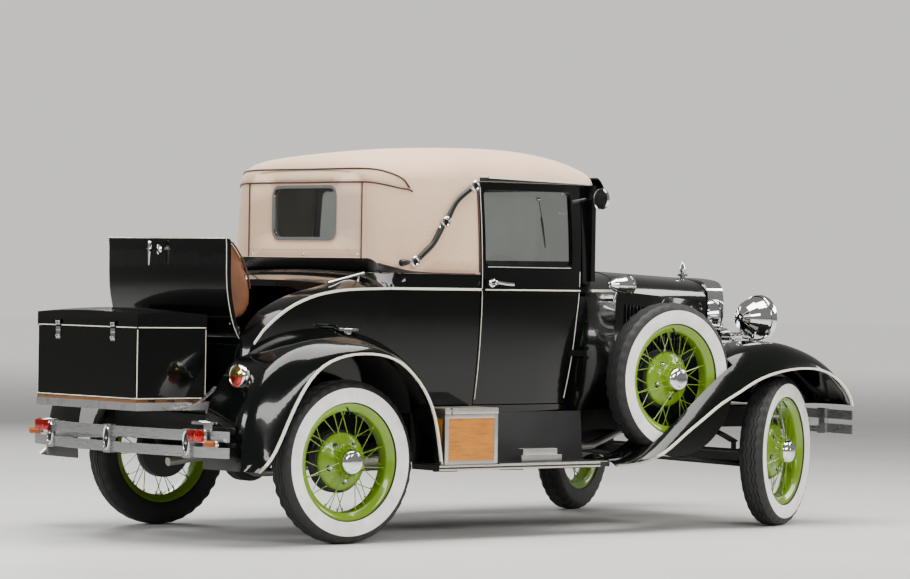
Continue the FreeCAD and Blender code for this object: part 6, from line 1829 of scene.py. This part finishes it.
@dataclass
class Studio:
    """The pale floor, soft lights and the camera of the photograph."""

    lights: Sequence[SoftLight] = (
        SoftLight("over", (-0.3, -0.8, 6.0), (0, 0, 0.5), (7.5, 3.6), 900, (1.0, 0.985, 0.955)),
        SoftLight("side", (-2.5, -9.5, 4.6), (0, 0, 0.8), (8.0, 1.6), 620, (1.0, 0.99, 0.965)),
        SoftLight("rear", (-9.5, 0.5, 3.8), (-0.5, 0, 0.9), (5.0, 1.6), 420, (0.965, 0.985, 1.0)),
        SoftLight("front", (8.5, -3.0, 4.6), (0.5, 0, 0.8), (5.0, 2.4), 420, (1.0, 0.98, 0.95)),
        SoftLight("far", (1.0, 9.0, 4.8), (0, 0, 0.9), (7.0, 2.4), 420, (1.0, 1.0, 1.0)))
    backdrop: Colour = (0.9, 0.885, 0.85)
    floor_reach: float = 60.0

    focal: float = 147.16
    spot: Point = (-11.207, -13.674, 1.201)
    yaw: float = 50.54
    pitch: float = -0.254
    roll: float = 0.916

    def camera(self) -> None:
        """Sets the camera where the photograph was taken from."""
        data = bpy.data.cameras.new("view")
        data.lens = self.focal
        data.sensor_width = 36.0
        data.clip_end = 200.0
        yaw, pitch, roll = (math.radians(a) for a in (self.yaw, self.pitch, self.roll))
        ahead = Vector((math.cos(pitch) * math.cos(yaw), math.cos(pitch) * math.sin(yaw), math.sin(pitch)))
        right = Vector((math.sin(yaw), -math.cos(yaw), 0.0))
        up = right.cross(ahead)
        across = right * math.cos(roll) + up * math.sin(roll)
        above = up * math.cos(roll) - right * math.sin(roll)
        camera = linked("view", data)
        turn = Matrix((across, above, -ahead)).transposed().to_4x4()
        camera.matrix_world = Matrix.Translation(Vector(self.spot)) @ turn
        bpy.context.scene.camera = camera

    def floor(self) -> None:
        """A wide pale floor."""
        g = Graph("studio_floor")
        g.set(Base_Color=g.ramp(g.noise(0.8, 4.0), [(0.3, (0.6, 0.595, 0.58)), (0.7, (0.66, 0.655, 0.64))]),
              Roughness=0.55, Emission_Color=self.backdrop)
        away = g.node("VectorMath", Vector=g.place)
        away.operation = "LENGTH"
        glow = g.node("MapRange", From_Min=6.0, From_Max=34.0, To_Min=0.0, To_Max=0.72, Value=away.outputs["Value"])
        glow.interpolation_type = "SMOOTHSTEP"
        seen = g.node("LightPath").outputs["Is Camera Ray"]
        g.set(Emission_Strength=g.calc("MULTIPLY", glow.outputs["Result"], seen))
        mesh = bpy.data.meshes.new("studio_floor")
        reach, count = self.floor_reach, 9
        span = [reach * (2 * i / (count - 1) - 1) for i in range(count)]
        faces = [(i * count + j, (i + 1) * count + j, (i + 1) * count + j + 1, i * count + j + 1)
                 for i in range(count - 1) for j in range(count - 1)]
        mesh.from_pydata([(x, y, 0.0) for x in span for y in span], [], faces)
        mesh.materials.append(g.material)
        linked("studio_floor", mesh)

    def build(self) -> None:
        """Builds the room."""
        self.camera()
        self.floor()
        for light in self.lights:
            light.build()
        world = bpy.data.worlds.new("room")
        world.use_nodes = True
        tree = world.node_tree
        back = tree.nodes["Background"]
        back.inputs["Color"].default_value = (*self.backdrop, 1.0)
        ray = tree.nodes.new("ShaderNodeLightPath")
        spread = tree.nodes.new("ShaderNodeMapRange")
        spread.inputs["To Min"].default_value = 0.26
        spread.inputs["To Max"].default_value = 0.95
        tree.links.new(ray.outputs["Is Camera Ray"], spread.inputs["Value"])
        tree.links.new(spread.outputs["Result"], back.inputs["Strength"])
        bpy.context.scene.world = world


def paint_solids() -> None:
    """Gives every carried-over solid its own finish or that of its slot."""
    own = {"window_frames": Extra.frame_plating, "luggage_rack": Extra.rack_plating, "rack_slats": Extra.slat_wood}
    for part in frame["record"]["subparts"]:
        node = frame["nodes"][part["node"]]
        material = PALETTE(own.get(part["node"], Wear[part["material_slot"]]))
        if not node.data.materials:
            node.data.materials.append(material)
        for slot in node.material_slots:
            slot.material = material


def main() -> None:
    """Dresses the car, piece by piece."""
    logging.basicConfig(level=logging.INFO, format="%(name)s %(message)s")
    Studio().build()
    paint_solids()
    ring, row, stitches = Repeat.ring(), Repeat.row(), Repeat.stitches()
    Wheels().build(ring)
    FabricTop().build(stitches)
    for cushion in (Cushion("cabin_seat", "cabin_cushions", "car"), Cushion("rumble_seat", "rumble_cushion", "car"),
                    Cushion("rumble_backrest", "rumble_back_pad", "rumble_lid", pleat=0.074)):
        cushion.build()
    RearTrunk().build()
    DeckCorners().build()
    RumbleLid().build()
    Lamps().build()
    gear = RunningGear()
    gear.boards(row)
    gear.bumper_clamps()
    gear.step_pads(row)
    gear.box_edging()
    Cabin().build()
    BodyLines().build()


if __name__ == "__main__":
    main()
